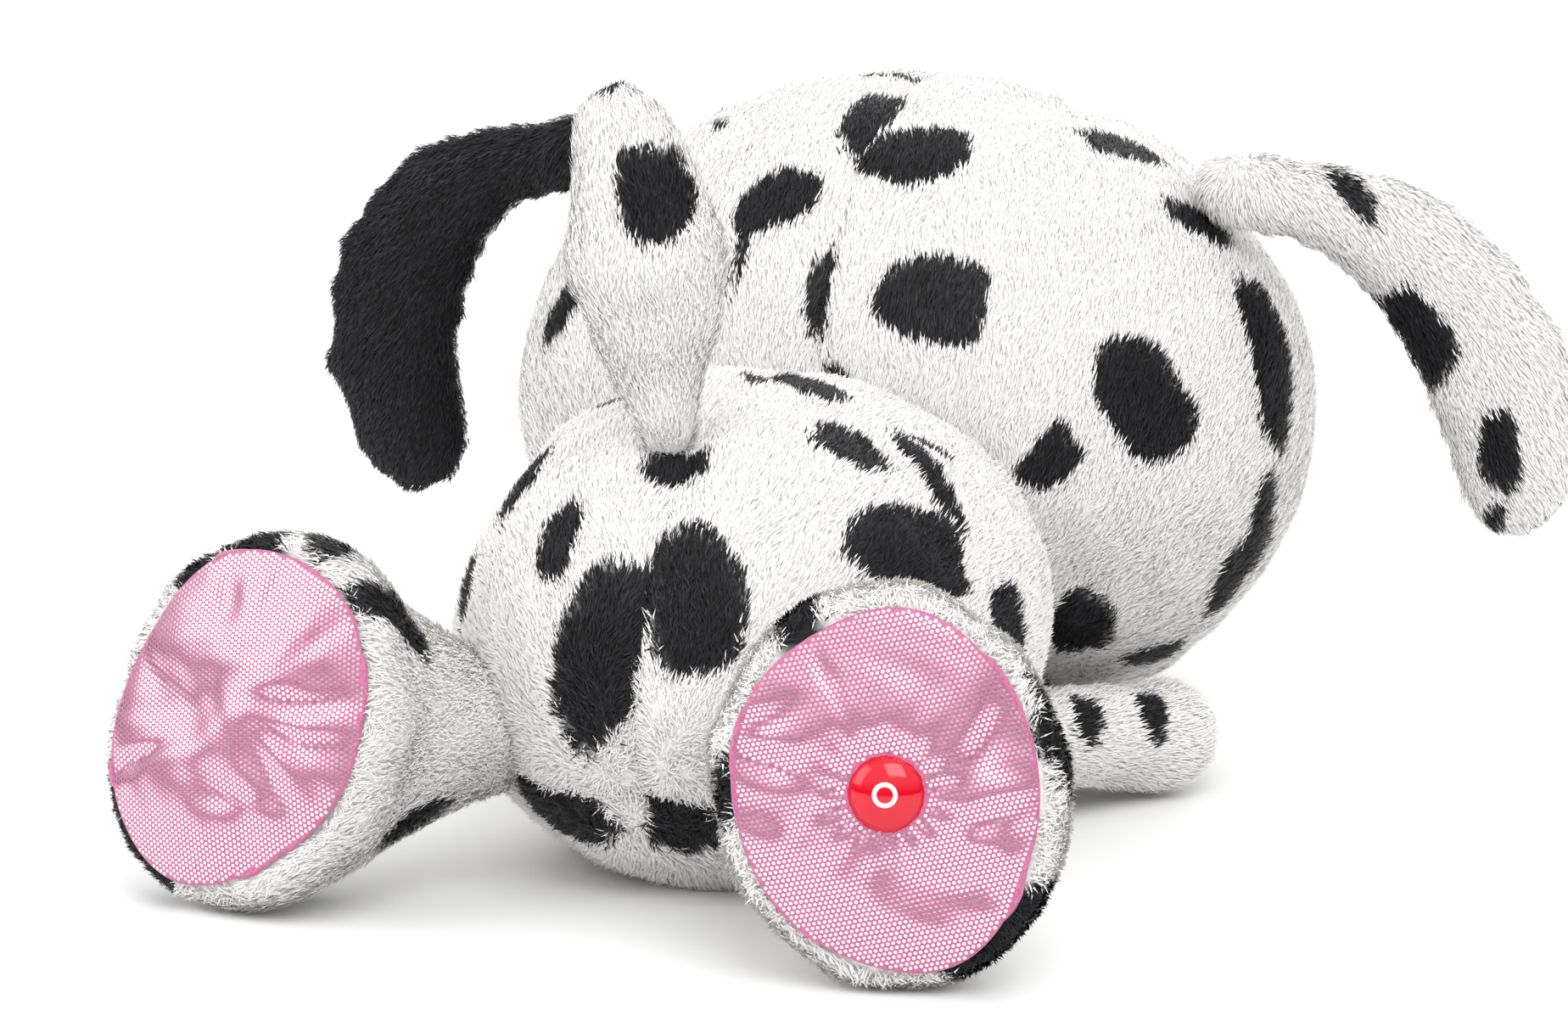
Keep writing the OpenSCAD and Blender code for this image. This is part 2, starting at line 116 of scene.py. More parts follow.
# ---------- mesh helpers ----------


def select_only(obj: Piece) -> None:
    """Select one object and make it active."""
    bpy.ops.object.select_all(action="DESELECT")
    obj.select_set(True)
    bpy.context.view_layer.objects.active = obj


def points(obj: Piece) -> Array:
    """The vertices of a mesh object as rows, in metres."""
    co = np.empty(len(obj.data.vertices) * 3, np.float32)
    obj.data.vertices.foreach_get("co", co)
    return co.reshape(-1, 3).astype(float)


def set_points(obj: Piece, co: Array) -> None:
    """Move the vertices of a mesh object to the given rows."""
    obj.data.vertices.foreach_set("co", co.astype(np.float32).ravel())
    obj.data.update()


def normals(obj: Piece) -> Array:
    """The vertex normals of a mesh object as rows."""
    out = np.empty(len(obj.data.vertices) * 3, np.float32)
    obj.data.vertex_normals.foreach_get("vector", out)
    return out.reshape(-1, 3).astype(float)


def apply_modifier(obj: Piece, kind: str, **settings: object) -> None:
    """Add a modifier with these settings and apply it."""
    select_only(obj)
    modifier = obj.modifiers.new(kind.title(), kind)
    for name, value in settings.items():
        setattr(modifier, name, value)
    bpy.ops.object.modifier_apply(modifier=modifier.name)


def soften(obj: Piece, times: int) -> None:
    """Even out a mesh's surface a little, this many times."""
    apply_modifier(obj, "SMOOTH", factor=0.5, iterations=times)


def refine(obj: Piece, levels: int) -> None:
    """Subdivide a mesh smoothly."""
    apply_modifier(obj, "SUBSURF", levels=levels, render_levels=levels)


def shade_smooth(obj: Piece) -> None:
    """Shade a mesh object smooth."""
    select_only(obj)
    bpy.ops.object.shade_smooth()


def new_mesh(name: str, verts: Array, faces: Array, shades: Array | None = None) -> Piece:
    """Make a mesh object from rows of vertices and of same-sized faces.

    Args:
        name: The piece's name.
        verts: Vertices in metres, one per row.
        faces: Vertex numbers, one face per row.
        shades: The material's place for each face.

    Returns:
        The new object, linked to the scene, with its origin at the frame's.
    """
    count, corners = faces.shape
    mesh = bpy.data.meshes.new(name)
    mesh.vertices.add(len(verts))
    mesh.vertices.foreach_set("co", verts.astype(np.float32).ravel())
    mesh.loops.add(count * corners)
    mesh.loops.foreach_set("vertex_index", faces.astype(np.int32).ravel())
    mesh.polygons.add(count)
    mesh.polygons.foreach_set("loop_start", np.arange(0, count * corners, corners, dtype=np.int32))
    if shades is not None:
        mesh.polygons.foreach_set("material_index", shades.astype(np.int32))
    mesh.update(calc_edges=True)
    obj = bpy.data.objects.new(name, mesh)
    bpy.context.scene.collection.objects.link(obj)
    return obj


def unit_sphere(name: str, segments: int, rings: int) -> Piece:
    """A sphere primitive of radius 1, from which a moulded cap is shaped."""
    bpy.ops.mesh.primitive_uv_sphere_add(segments=segments, ring_count=rings, radius=1)
    bpy.context.object.name = name
    return bpy.context.object


def outward(obj: Piece) -> None:
    """Merge doubled vertices and point every face outwards."""
    select_only(obj)
    bpy.ops.object.mode_set(mode="EDIT")
    bpy.ops.mesh.select_all(action="SELECT")
    bpy.ops.mesh.remove_doubles(threshold=0.02 * MM)
    bpy.ops.mesh.normals_make_consistent(inside=False)
    bpy.ops.object.mode_set(mode="OBJECT")


@dataclass(frozen=True)
class Ball:
    """A stuffed lump that a form is built up from: its middle and its three radii."""

    at: Triple
    radii: Triple

    def add(self) -> Piece:
        """Add the lump as a sphere primitive at its size and place."""
        bpy.ops.mesh.primitive_uv_sphere_add(
            segments=40, ring_count=24, radius=1,
            location=[v * MM for v in self.at], scale=[v * MM for v in self.radii])
        bpy.ops.object.transform_apply(location=True, rotation=True, scale=True)
        return bpy.context.object


UNDER_HEAD_SKIN = Ball((0, -88, 62.3), (74, 60, 60))
UNDER_TORSO_SKIN = Ball((0, 0, 38), (49, 57, 43))


def form_of_balls(name: str, balls: Sequence[Ball], voxel: float) -> Piece:
    """One closed skin round several lumps.

    Args:
        name: The form's name.
        balls: The lumps.
        voxel: Size of the remesh, in millimetres.

    Returns:
        The form as an object of even quads.
    """
    parts = [ball.add() for ball in balls]
    bpy.ops.object.select_all(action="DESELECT")
    for part in parts:
        part.select_set(True)
    bpy.context.view_layer.objects.active = parts[0]
    if len(parts) > 1:
        bpy.ops.object.join()
    form = bpy.context.object
    form.name = name
    apply_modifier(form, "REMESH", mode="VOXEL", voxel_size=voxel * MM)
    return form


def form_of_node(name: str, node: str, out: float, voxel: float) -> Piece:
    """One closed skin round a solid of the frame.

    Args:
        name: The form's name.
        node: The frame's node whose shape it wraps.
        out: How far it stands off that solid, in millimetres.
        voxel: Size of the remesh, in millimetres.

    Returns:
        The form as an object of even quads.
    """
    form = bpy.data.objects.new(name, frame["nodes"][node].data.copy())
    form.data.materials.clear()
    bpy.context.scene.collection.objects.link(form)
    outward(form)
    apply_modifier(form, "REMESH", mode="VOXEL", voxel_size=voxel * MM)
    set_points(form, points(form) + normals(form) * out * MM)
    soften(form, 3)
    return form


def inflate(obj: Piece, held: Array, swell: float) -> None:
    """Args:
        obj: The closed skin.
        held: Which vertices the seams hold in place.
        swell: The most that a point may move, in millimetres.
    """
    rest = points(obj)
    group = obj.vertex_groups.new(name="held")
    group.add([int(i) for i in np.flatnonzero(held)], 1.0, "REPLACE")
    select_only(obj)
    cloth = obj.modifiers.new("Cloth", "CLOTH")
    cloth.settings.vertex_group_mass = group.name
    cloth.settings.use_pressure = True
    cloth.settings.uniform_pressure_force = CLOTH_PRESSURE
    cloth.settings.effector_weights.gravity = 0
    for step in range(1, CLOTH_FRAMES + 1):
        bpy.context.scene.frame_set(step)
    bpy.ops.object.modifier_apply(modifier=cloth.name)
    bpy.context.scene.frame_set(1)
    moved = points(obj) - rest
    far = np.maximum(np.linalg.norm(moved, axis=1, keepdims=True), 1e-9)
    set_points(obj, rest + moved * np.minimum(1, swell * MM / far))
    obj.vertex_groups.clear()


class Ripple:
    """A smooth field of seeded waves, for uneven stuffing and for the lie of the pile."""

    def __init__(self, seed: int, wavelength: float, waves: int = 7) -> None:
        """Draw the waves.

        Args:
            seed: Seed of the draw.
            wavelength: Typical distance between crests, in millimetres.
            waves: Number of waves added up.
        """
        rng = np.random.default_rng(seed)
        turns = rng.normal(size=(waves, 3))
        turns /= np.linalg.norm(turns, axis=1, keepdims=True)
        self.turns = turns * rng.uniform(0.6, 1.5, (waves, 1)) * 2 * math.pi / (wavelength * MM)
        self.phase = rng.uniform(0, 2 * math.pi, waves)
        self.gain = 1 / math.sqrt(waves)

    def at(self, co: Array) -> Array:
        """The field's value, about -1 to 1, at each point."""
        return np.sin(co @ self.turns.T + self.phase).sum(1) * self.gain


def ruffle(obj: Piece, *ripples: tuple[int, float, float]) -> None:
    """Make a skin uneven by ripples, each a seed, a wavelength and a height in millimetres."""
    co = points(obj)
    uneven = sum(Ripple(seed, wavelength).at(co) * height for seed, wavelength, height in ripples)
    set_points(obj, co + normals(obj) * (uneven * MM)[:, None])


def keep_off_floor(obj: Piece) -> None:
    """Flatten a skin where it lies on the floor."""
    co = points(obj)
    co[:, 2] = np.maximum(co[:, 2], SKIN_GAP)
    set_points(obj, co)


@dataclass(frozen=True)
class Seam:
    """A seam that lies in a plane: where the fabric is drawn in."""

    point: Triple
    normal: Triple
    depth: float = 1.8
    width: float = 2.6
    where: PerPoint = lambda co: np.ones(len(co), bool)

    def distance(self, co: Array) -> Array:
        """Distance of each point from the seam, in millimetres; very far outside its reach."""
        normal = np.array(self.normal) / np.linalg.norm(self.normal)
        away = np.abs((co / MM - np.array(self.point)) @ normal)
        return np.where(self.where(co / MM), away, 1e3)

    def draw_in(self, obj: Piece) -> None:
        """Pull the fabric in along the seam."""
        co = points(obj)
        fall = np.exp(-((self.distance(co) / self.width) ** 2))
        set_points(obj, co - normals(obj) * (fall * self.depth * MM)[:, None])


# ---------- spots ----------


@dataclass(frozen=True)
class Spot:
    """A black spot printed on the plush.

    Attributes:
        at: Its middle, on the skin.
        half: Its half length and half width.
        tilt: Turn of its length from level, in degrees, seen from outside.
        square: 2 for an oval, more for squarer corners.
        flats: Straight edges, each a direction in degrees and a share of the oval's reach.
    """

    at: Triple
    half: tuple[float, float]
    tilt: float = 0
    square: float = 2.3
    flats: tuple[tuple[float, float], ...] = ()

    def depth(self, co: Array, facing: Array, skin: Array, skin_normals: Array) -> Array:
        """How far inside the spot each point lies, in millimetres, negative outside.

        Args:
            co: The points, in metres.
            facing: The surface normal at each point.
            skin: Vertices of the skin that the spot lies on.
            skin_normals: Their normals.

        Returns:
            One depth per point.
        """
        nearest = int(np.argmin(((skin - np.array(self.at) * MM) ** 2).sum(1)))
        out = skin_normals[nearest]
        right = np.cross((0, 0, 1), out)
        right = right / np.linalg.norm(right) if np.linalg.norm(right) > 1e-3 else np.array((1.0, 0, 0))
        up = np.cross(out, right)
        offset = (co - np.array(self.at) * MM) / MM
        x, y = offset @ right, offset @ up
        turn = math.radians(self.tilt)
        along, across = x * math.cos(turn) + y * math.sin(turn), y * math.cos(turn) - x * math.sin(turn)
        long, wide = self.half
        angle = np.arctan2(across / wide, along / long)
        wobble = 1 + 0.05 * np.sin(3 * angle + self.at[0]) + 0.035 * np.sin(5 * angle + self.at[2])
        power = self.square
        reach = (np.abs(along / long) ** power + np.abs(across / wide) ** power) ** (1 / power) * wobble
        for direction, share in self.flats:
            c, s = math.cos(math.radians(direction)), math.sin(math.radians(direction))
            edge = share * math.hypot(long * math.cos(turn - math.radians(direction)),
                                      wide * math.sin(turn - math.radians(direction)))
            reach = np.maximum(reach, (x * c + y * s) / edge)
        same_side = (facing @ out > 0.1) & (np.abs(offset @ out) < 1.2 * max(self.half) + 4)
        return np.where(same_side, (1 - reach) * min(self.half), -9.0)


@dataclass
class Print:
    """The spots on one skin, tied to the skin's own surface."""

    spots: Sequence[Spot]
    skin: Array = field(default_factory=lambda: np.zeros((1, 3)))
    skin_normals: Array = field(default_factory=lambda: np.zeros((1, 3)))
    all_black: bool = False

    def fit(self, skin: Piece) -> "Print":
        """Tie the spots to a finished skin, and return the print."""
        self.skin, self.skin_normals = points(skin), normals(skin)
        return self

    def depth(self, co: Array, facing: Array) -> Array:
        """How far inside the nearest spot each point lies, in millimetres."""
        if self.all_black:
            return np.full(len(co), 9.0)
        out = np.full(len(co), -9.0)
        for spot in self.spots:
            out = np.maximum(out, spot.depth(co, facing, self.skin, self.skin_normals))
        return out

    def dye(self, obj: Piece) -> None:
        """Write the print on a skin as the attribute that its material reads."""
        shade = np.clip(0.5 + self.depth(points(obj), normals(obj)) / 1.6, 0, 1)
        attribute = obj.data.attributes.new("spot", "FLOAT", "POINT")
        attribute.data.foreach_set("value", shade.astype(np.float32))


# ---------- finishes ----------


def node_material(name: str, settings: dict[str, object]) -> tuple[bpy.types.Material, bpy.types.Node]:
    """A new material and its Principled shader, with these constants on the shader's own sockets."""
    material = bpy.data.materials.new(name)
    material.use_nodes = True
    shader = material.node_tree.nodes["Principled BSDF"]
    for socket, value in settings.items():
        shader.inputs[socket].default_value = value
    return material, shader


def noise(material: bpy.types.Material, per_metre: float, detail: float = 4) -> bpy.types.Node:
    """A noise texture on the piece's own coordinates."""
    tree = material.node_tree
    place = tree.nodes.new("ShaderNodeTexCoord")
    texture = tree.nodes.new("ShaderNodeTexNoise")
    texture.inputs["Scale"].default_value = per_metre
    texture.inputs["Detail"].default_value = detail
    tree.links.new(place.outputs["Object"], texture.inputs["Vector"])
    return texture


def ramp(material: bpy.types.Material, source: object, stops: Sequence[tuple[float, Triple]]) -> object:
    """A colour ramp fed by a socket; returns its colour output."""
    node = material.node_tree.nodes.new("ShaderNodeValToRGB")
    while len(node.color_ramp.elements) < len(stops):
        node.color_ramp.elements.new(0.5)
    for element, (place, colour) in zip(node.color_ramp.elements, stops):
        element.position = place
        element.color = (*colour, 1)
    material.node_tree.links.new(source, node.inputs["Fac"])
    return node.outputs["Color"]


def bump(material: bpy.types.Material, shader: bpy.types.Node, height: object, strength: float,
         distance: float) -> None:
    """Roughen a shader by a height socket; distance is in millimetres."""
    node = material.node_tree.nodes.new("ShaderNodeBump")
    node.inputs["Strength"].default_value = strength
    node.inputs["Distance"].default_value = distance * MM
    material.node_tree.links.new(height, node.inputs["Height"])
    material.node_tree.links.new(node.outputs["Normal"], shader.inputs["Normal"])


@dataclass(frozen=True)
class SkinFinish:
    """Woven backing with the roots of the pile, white with printed black spots."""

    white: Triple = (0.90, 0.89, 0.87)
    grey: Triple = (0.84, 0.825, 0.80)
    black: Triple = (0.006, 0.006, 0.007)

    def make(self) -> bpy.types.Material:
        """Build the material."""
        material, shader = node_material("plush_backing", {"Roughness": 0.9, "Sheen Weight": 0.25})
        links, nodes = material.node_tree.links, material.node_tree.nodes
        spot = nodes.new("ShaderNodeAttribute")
        spot.attribute_name = "spot"
        fibres = noise(material, 900)
        cloth = ramp(material, fibres.outputs["Fac"], [(0.3, self.grey), (0.7, self.white)])
        mix = nodes.new("ShaderNodeMix")
        mix.data_type = "RGBA"
        mix.inputs["B"].default_value = (*self.black, 1)
        links.new(spot.outputs["Fac"], mix.inputs["Factor"])
        links.new(cloth, mix.inputs["A"])
        links.new(mix.outputs["Result"], shader.inputs["Base Color"])
        bump(material, shader, fibres.outputs["Fac"], 0.6, 0.5)
        return material


@dataclass(frozen=True)
class HairFinish:
    """The hair of the pile in one shade."""

    name: str
    colour: Triple
    roughness: float = 0.75
    sheen: float = 0.15

    def make(self) -> bpy.types.Material:
        """Build the material."""
        material, shader = node_material(self.name, {
            "Base Color": (*self.colour, 1),
            "Roughness": self.roughness,
            "Sheen Weight": self.sheen,
            "Specular IOR Level": 0.3,
        })
        return material


@dataclass(frozen=True)
class MouldedFinish:
    """Moulded plastic, glossy or satin, with a faint unevenness."""

    name: str
    colour: Triple
    roughness: float
    coat: float = 0.0
    uneven: float = 0.04

    def make(self) -> bpy.types.Material:
        """Build the material."""
        material, shader = node_material(self.name, {
            "Base Color": (*self.colour, 1),
            "Coat Weight": self.coat,
            "Coat Roughness": 0.03,
        })
        cloud = noise(material, 260, 2)
        spread = material.node_tree.nodes.new("ShaderNodeMapRange")
        spread.inputs["To Min"].default_value = self.roughness - self.uneven
        spread.inputs["To Max"].default_value = self.roughness + self.uneven
        material.node_tree.links.new(cloud.outputs["Fac"], spread.inputs["Value"])
        material.node_tree.links.new(spread.outputs["Result"], shader.inputs["Roughness"])
        return material


@dataclass(frozen=True)
class SoleFinish:
    """Pink woven fabric under the foil dots."""

    pink: Triple = (0.60, 0.17, 0.33)
    deep: Triple = (0.38, 0.07, 0.18)

    def make(self) -> bpy.types.Material:
        """Build the material."""
        material, shader = node_material("sole_weave", {"Roughness": 0.45, "Sheen Weight": 0.3})
        threads = noise(material, 2600, 2)
        colour = ramp(material, threads.outputs["Fac"], [(0.25, self.deep), (0.65, self.pink)])
        material.node_tree.links.new(colour, shader.inputs["Base Color"])
        bump(material, shader, threads.outputs["Fac"], 0.5, 0.2)
        return material


@dataclass(frozen=True)
class FoilFinish:
    """Bright foil of the dots on the soles."""

    colour: Triple = (0.96, 0.83, 0.88)

    def make(self) -> bpy.types.Material:
        """Build the material."""
        material, shader = node_material("foil_dots", {
            "Base Color": (*self.colour, 1),
            "Metallic": 1,
            "Roughness": 0.2,
        })
        return material


@dataclass(frozen=True)
class FillFinish:
    """Loose fibre or cloth inside the toy, mottled."""

    name: str
    light: Triple
    dark: Triple
    grain: float

    def make(self) -> bpy.types.Material:
        """Build the material."""
        material, shader = node_material(self.name, {"Roughness": 0.95})
        fibres = noise(material, self.grain, 8)
        colour = ramp(material, fibres.outputs["Fac"], [(0.3, self.dark), (0.7, self.light)])
        material.node_tree.links.new(colour, shader.inputs["Base Color"])
        bump(material, shader, fibres.outputs["Fac"], 0.8, 0.8)
        return material


class Finishes:
    """Every finish of the toy, made once."""

    def __init__(self) -> None:
        """Build all materials."""
        self.skin = SkinFinish().make()
        self.hair = {
            Shade.WHITE: HairFinish("pile_white", (0.86, 0.85, 0.835)).make(),
            Shade.CREAM: HairFinish("pile_cream", (0.82, 0.805, 0.78)).make(),
            Shade.BLACK: HairFinish("pile_black", (0.004, 0.004, 0.005), 0.6, 0.02).make(),
            # Painted highlight: a lighter bluish black given to some of the black hairs.
            Shade.SLATE: HairFinish("pile_slate", (0.014, 0.015, 0.021), 0.5, 0.03).make(),
        }
        self.sole = SoleFinish().make()
        self.foil = FoilFinish().make()
        self.red = MouldedFinish("button_red", (0.62, 0.0, 0.016), 0.10, 0.2).make()
        self.pale = MouldedFinish("button_ring", (0.86, 0.70, 0.78), 0.25, 0.6).make()
        self.black = MouldedFinish("eye_black", (0.005, 0.004, 0.004), 0.10, 0.0).make()
        self.nose = MouldedFinish("nose_black", (0.012, 0.010, 0.010), 0.34, 0.0).make()
        self.thread = MouldedFinish("mouth_thread", (0.02, 0.018, 0.018), 0.7).make()
        self.washer = MouldedFinish("washer_plastic", (0.55, 0.55, 0.53), 0.4).make()
        self.fibre = FillFinish("fibre_fill", (0.86, 0.86, 0.85), (0.62, 0.62, 0.61), 420).make()
        self.bag = FillFinish("bead_bag_cloth", (0.62, 0.52, 0.38), (0.42, 0.33, 0.22), 1500).make()


# ---------- pile ----------


@dataclass(frozen=True)
class Pile:
    """The short pile of the plush, grown as flat tapered hairs.

    Attributes:
        length: Length of a hair.
        width: Width of a hair at its middle.
        density: Hairs on a square millimetre.
        lift: Angle of a hair's tip above the skin, in degrees.
        rise: Angle of its root, in degrees.
        stray: How much hairs differ in direction.
        most: The most hairs that one mesh holds.
    """

    length: float = 2.9
    width: float = 0.27
    density: float = 6.0
    lift: float = 7
    rise: float = 40
    stray: float = 0.15
    most: int = 95_000

    def grow(self, name: str, skin: Piece, comb: PerPoint, ink: Print,
             finishes: Finishes, seed: int,
             bare: PerPoint | None = None) -> list[Piece]:
        """Grow the pile of one skin.

        Args:
            name: The pile's name.
            skin: The skin it grows on.
            comb: Gives the direction in which the pile is brushed at each point.
            ink: The spots printed on the skin.
            finishes: The toy's finishes.
            seed: Seed of the draw.
            bare: Tells where no pile grows, because another piece covers the skin.

        Returns:
            The pile as meshes of tapered hairs.
        """
        rng = np.random.default_rng(seed)
        skin.data.calc_loop_triangles()
        tris = np.empty(len(skin.data.loop_triangles) * 3, np.int32)
        skin.data.loop_triangles.foreach_get("vertices", tris)
        tris = tris.reshape(-1, 3)
        co, out = points(skin), normals(skin)
        corners = co[tris]
        sides = corners[:, 1] - corners[:, 0], corners[:, 2] - corners[:, 0]
        area = np.linalg.norm(np.cross(*sides), axis=1) / 2
        count = int(area.sum() / MM**2 * self.density)
        chosen = np.searchsorted(np.cumsum(area), rng.uniform(0, area.sum(), count))
        chosen = np.minimum(chosen, len(tris) - 1)
        mix = rng.dirichlet((1, 1, 1), count)
        root = (corners[chosen] * mix[:, :, None]).sum(1)
        face = (out[tris[chosen]] * mix[:, :, None]).sum(1)
        if bare is not None:
            kept = ~bare(root)
            root, face = root[kept], face[kept]
        face /= np.linalg.norm(face, axis=1, keepdims=True)
        tufts = math.ceil(len(root) / self.most)
        return [self._hairs(f"{name}_{k + 1}" if tufts > 1 else name, root[k::tufts], face[k::tufts],
                            comb, ink, finishes, rng, seed) for k in range(tufts)]

    def _hairs(self, name: str, root: Array, face: Array, comb: PerPoint, ink: Print,
               finishes: Finishes, rng: np.random.Generator, seed: int) -> Piece:
        """Make the hairs that grow at these roots, where face is the skin's normal."""
        count = len(root)
        sway = np.stack([Ripple(seed + k, 16).at(root) for k in range(3)], 1) * self.stray
        sway += np.stack([Ripple(seed + 10 + k, 4.5).at(root) for k in range(3)], 1) * self.stray
        lie = comb(root) + sway + rng.normal(0, self.stray, (count, 3))
        lie -= face * (lie * face).sum(1, keepdims=True)
        lie /= np.maximum(np.linalg.norm(lie, axis=1, keepdims=True), 1e-6)
        half = self.length * MM / 2 * rng.uniform(0.7, 1.2, (count, 1))
        low = np.radians(self.rise + rng.normal(0, 9, (count, 1)))
        high = np.radians(self.lift + rng.normal(0, 9, (count, 1)))
        start = root - face * 0.25 * MM
        middle = start + (lie * np.cos(low) + face * np.sin(low)) * half
        tip = middle + (lie * np.cos(high) + face * np.sin(high)) * half
        across = np.cross(lie, face) + face * rng.normal(0, 0.25, (count, 1))
        across *= self.width * MM / 2 * rng.uniform(0.7, 1.3, (count, 1))
        verts = np.stack([start, middle + across, middle - across, tip], 1).reshape(-1, 3)
        verts[:, 2] = np.maximum(verts[:, 2], FLOOR_GAP)
        first = np.arange(count)[:, None] * 4
        faces = np.concatenate([first + (0, 1, 2), first + (2, 1, 3)], 1).reshape(-1, 3)
        dark = ink.depth(root, face) + rng.normal(0, 0.35, count) > 0
        light = np.where(rng.random(count) < 0.35, Shade.CREAM.value, Shade.WHITE.value)
        # Three in ten black hairs take the painted highlight shade, chosen at random.
        ink_and_highlight = np.where(rng.random(count) < 0.3, Shade.SLATE.value, Shade.BLACK.value)
        shades = np.repeat(np.where(dark, ink_and_highlight, light), 2)
        pile = new_mesh(name, verts, faces, shades)
        soft_light = pile.data.attributes.new("custom_normal", "FLOAT_VECTOR", "POINT")
        soft_light.data.foreach_set("vector", np.repeat(face, 4, 0).astype(np.float32).ravel())
        for shade in Shade:
            pile.data.materials.append(finishes.hair[shade])
        LOG.info("%s: %d hairs", name, count)
        return pile


def brush(direction: Triple, spread_from: Triple | None = None) -> PerPoint:
    """A comb that runs one way, or also spreads out from a point.

    Args:
        direction: The way that the pile lies.
        spread_from: The point that it spreads from, in millimetres.

    Returns:
        A function that gives the lie of the pile at each point.
    """
    way = np.array(direction, float)

    def lie(co: Array) -> Array:
        """The lie of the pile at each point."""
        out = np.repeat(way[None], len(co), 0)
        if spread_from is not None:
            away = co / MM - np.array(spread_from)
            out = out + away / np.maximum(np.linalg.norm(away, axis=1, keepdims=True), 1e-6)
        return out

    return lie


def within(*balls: Ball) -> PerPoint:
    """A test of which points lie inside any of these lumps."""

    def test(co: Array) -> Array:
        """Which points are inside."""
        inside = np.zeros(len(co), bool)
        for ball in balls:
            inside |= (((co / MM - np.array(ball.at)) / np.array(ball.radii)) ** 2).sum(1) < 1
        return inside

    return test


# ---------- panels ----------


def cut_panel(form: Piece, name: str, planes: Sequence[tuple[Triple, Triple]],
              chosen: PerPoint) -> Piece:
    """A copy of a form with only the faces of one panel, cut cleanly along planes.

    Args:
        form: The whole skin.
        name: The panel's name.
        planes: Points and normals of the cutting planes.
        chosen: Tells which face centres, in millimetres, belong to the panel.

    Returns:
        The panel, still one sheet thick.
    """
    panel = bpy.data.objects.new(name, form.data.copy())
    bpy.context.scene.collection.objects.link(panel)
    select_only(panel)
    bpy.ops.object.mode_set(mode="EDIT")
    for point, normal in planes:
        bpy.ops.mesh.select_all(action="SELECT")
        bpy.ops.mesh.bisect(plane_co=[v * MM for v in point], plane_no=normal)
    bpy.ops.mesh.select_mode(type="FACE")
    bpy.ops.mesh.select_all(action="DESELECT")
    bpy.ops.object.mode_set(mode="OBJECT")
    centres = np.empty(len(panel.data.polygons) * 3, np.float32)
    panel.data.polygons.foreach_get("center", centres)
    panel.data.polygons.foreach_set("select", ~chosen(centres.reshape(-1, 3) / MM))
    bpy.ops.object.mode_set(mode="EDIT")
    bpy.ops.mesh.delete(type="FACE")
    bpy.ops.object.mode_set(mode="OBJECT")
    return panel


def give_thickness(obj: Piece, thickness: float = 1.2) -> None:
    """Give a panel of fabric its thickness, inwards, in millimetres."""
    apply_modifier(obj, "SOLIDIFY", thickness=thickness * MM, offset=-1, use_even_offset=False)


def dress(obj: Piece, material: bpy.types.Material) -> None:
    """Give a piece its finish and shade it smooth."""
    obj.data.materials.clear()
    obj.data.materials.append(material)
    shade_smooth(obj)


@dataclass
class SewnSkin:
    """A round stuffed form whose skin is sewn from panels of plush.

    Attributes:
        finishes: The toy's finishes.
        name: What the form is called until it is cut.
        lump: The shape that the stuffing gives it.
        seams: Its seams.
        ripples: Seed, wavelength and height of each unevenness.
        spots: Its spots.
        planes: Points and normals of the planes that part the panels.
        panels: Each panel's name, its node in the frame, and a test for its face centres.
        comb: The way its pile lies.
        seed: Seed of the first panel's pile.
        hidden: Tells where no pile grows.
        attach: Ties a finished piece to the bodies that it moves with.
        pile: Its pile.
        voxel: Size of the remesh.
        held: How far from a seam the skin is held while it is puffed up.
        swell: The most that it is puffed up.
    """

    finishes: Finishes
    name: str
    lump: Ball
    seams: Sequence[Seam]
    ripples: Sequence[tuple[int, float, float]]
    spots: Sequence[Spot]
    planes: Sequence[tuple[Triple, Triple]]
    panels: Sequence[tuple[str, str, PerPoint]]
    comb: PerPoint
    seed: int
    hidden: PerPoint
    attach: Callable[[Piece], None]
    pile: Pile = Pile()
    voxel: float = 4.2
    held: float = 2.2
    swell: float = 1.2

    def form(self) -> Piece:
        """The whole skin before it is cut in panels."""
        form = form_of_balls(self.name, [self.lump], self.voxel)
        near = np.min([seam.distance(points(form)) for seam in self.seams], axis=0)
        inflate(form, near < self.held, self.swell)
        refine(form, 1)
        ruffle(form, *self.ripples)
        for seam in self.seams:
            seam.draw_in(form)
        keep_off_floor(form)
        return form

    def build(self) -> None:
        """Make the panels and their pile."""
        form = self.form()
        ink = Print(self.spots).fit(form)
        for number, (name, node, chosen) in enumerate(self.panels):
            panel = cut_panel(form, name, self.planes, chosen)
            piles = self.pile.grow(f"{name}_pile", panel, self.comb, ink, self.finishes,
                                   self.seed + number * 20, self.hidden)
            ink.dye(panel)
            give_thickness(panel)
            dress(panel, self.finishes.skin)
            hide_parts(node)
            for piece in (panel, *piles):
                self.attach(piece)
            LOG.info("%s", name)
        bpy.data.objects.remove(form)


# ---------- head ----------


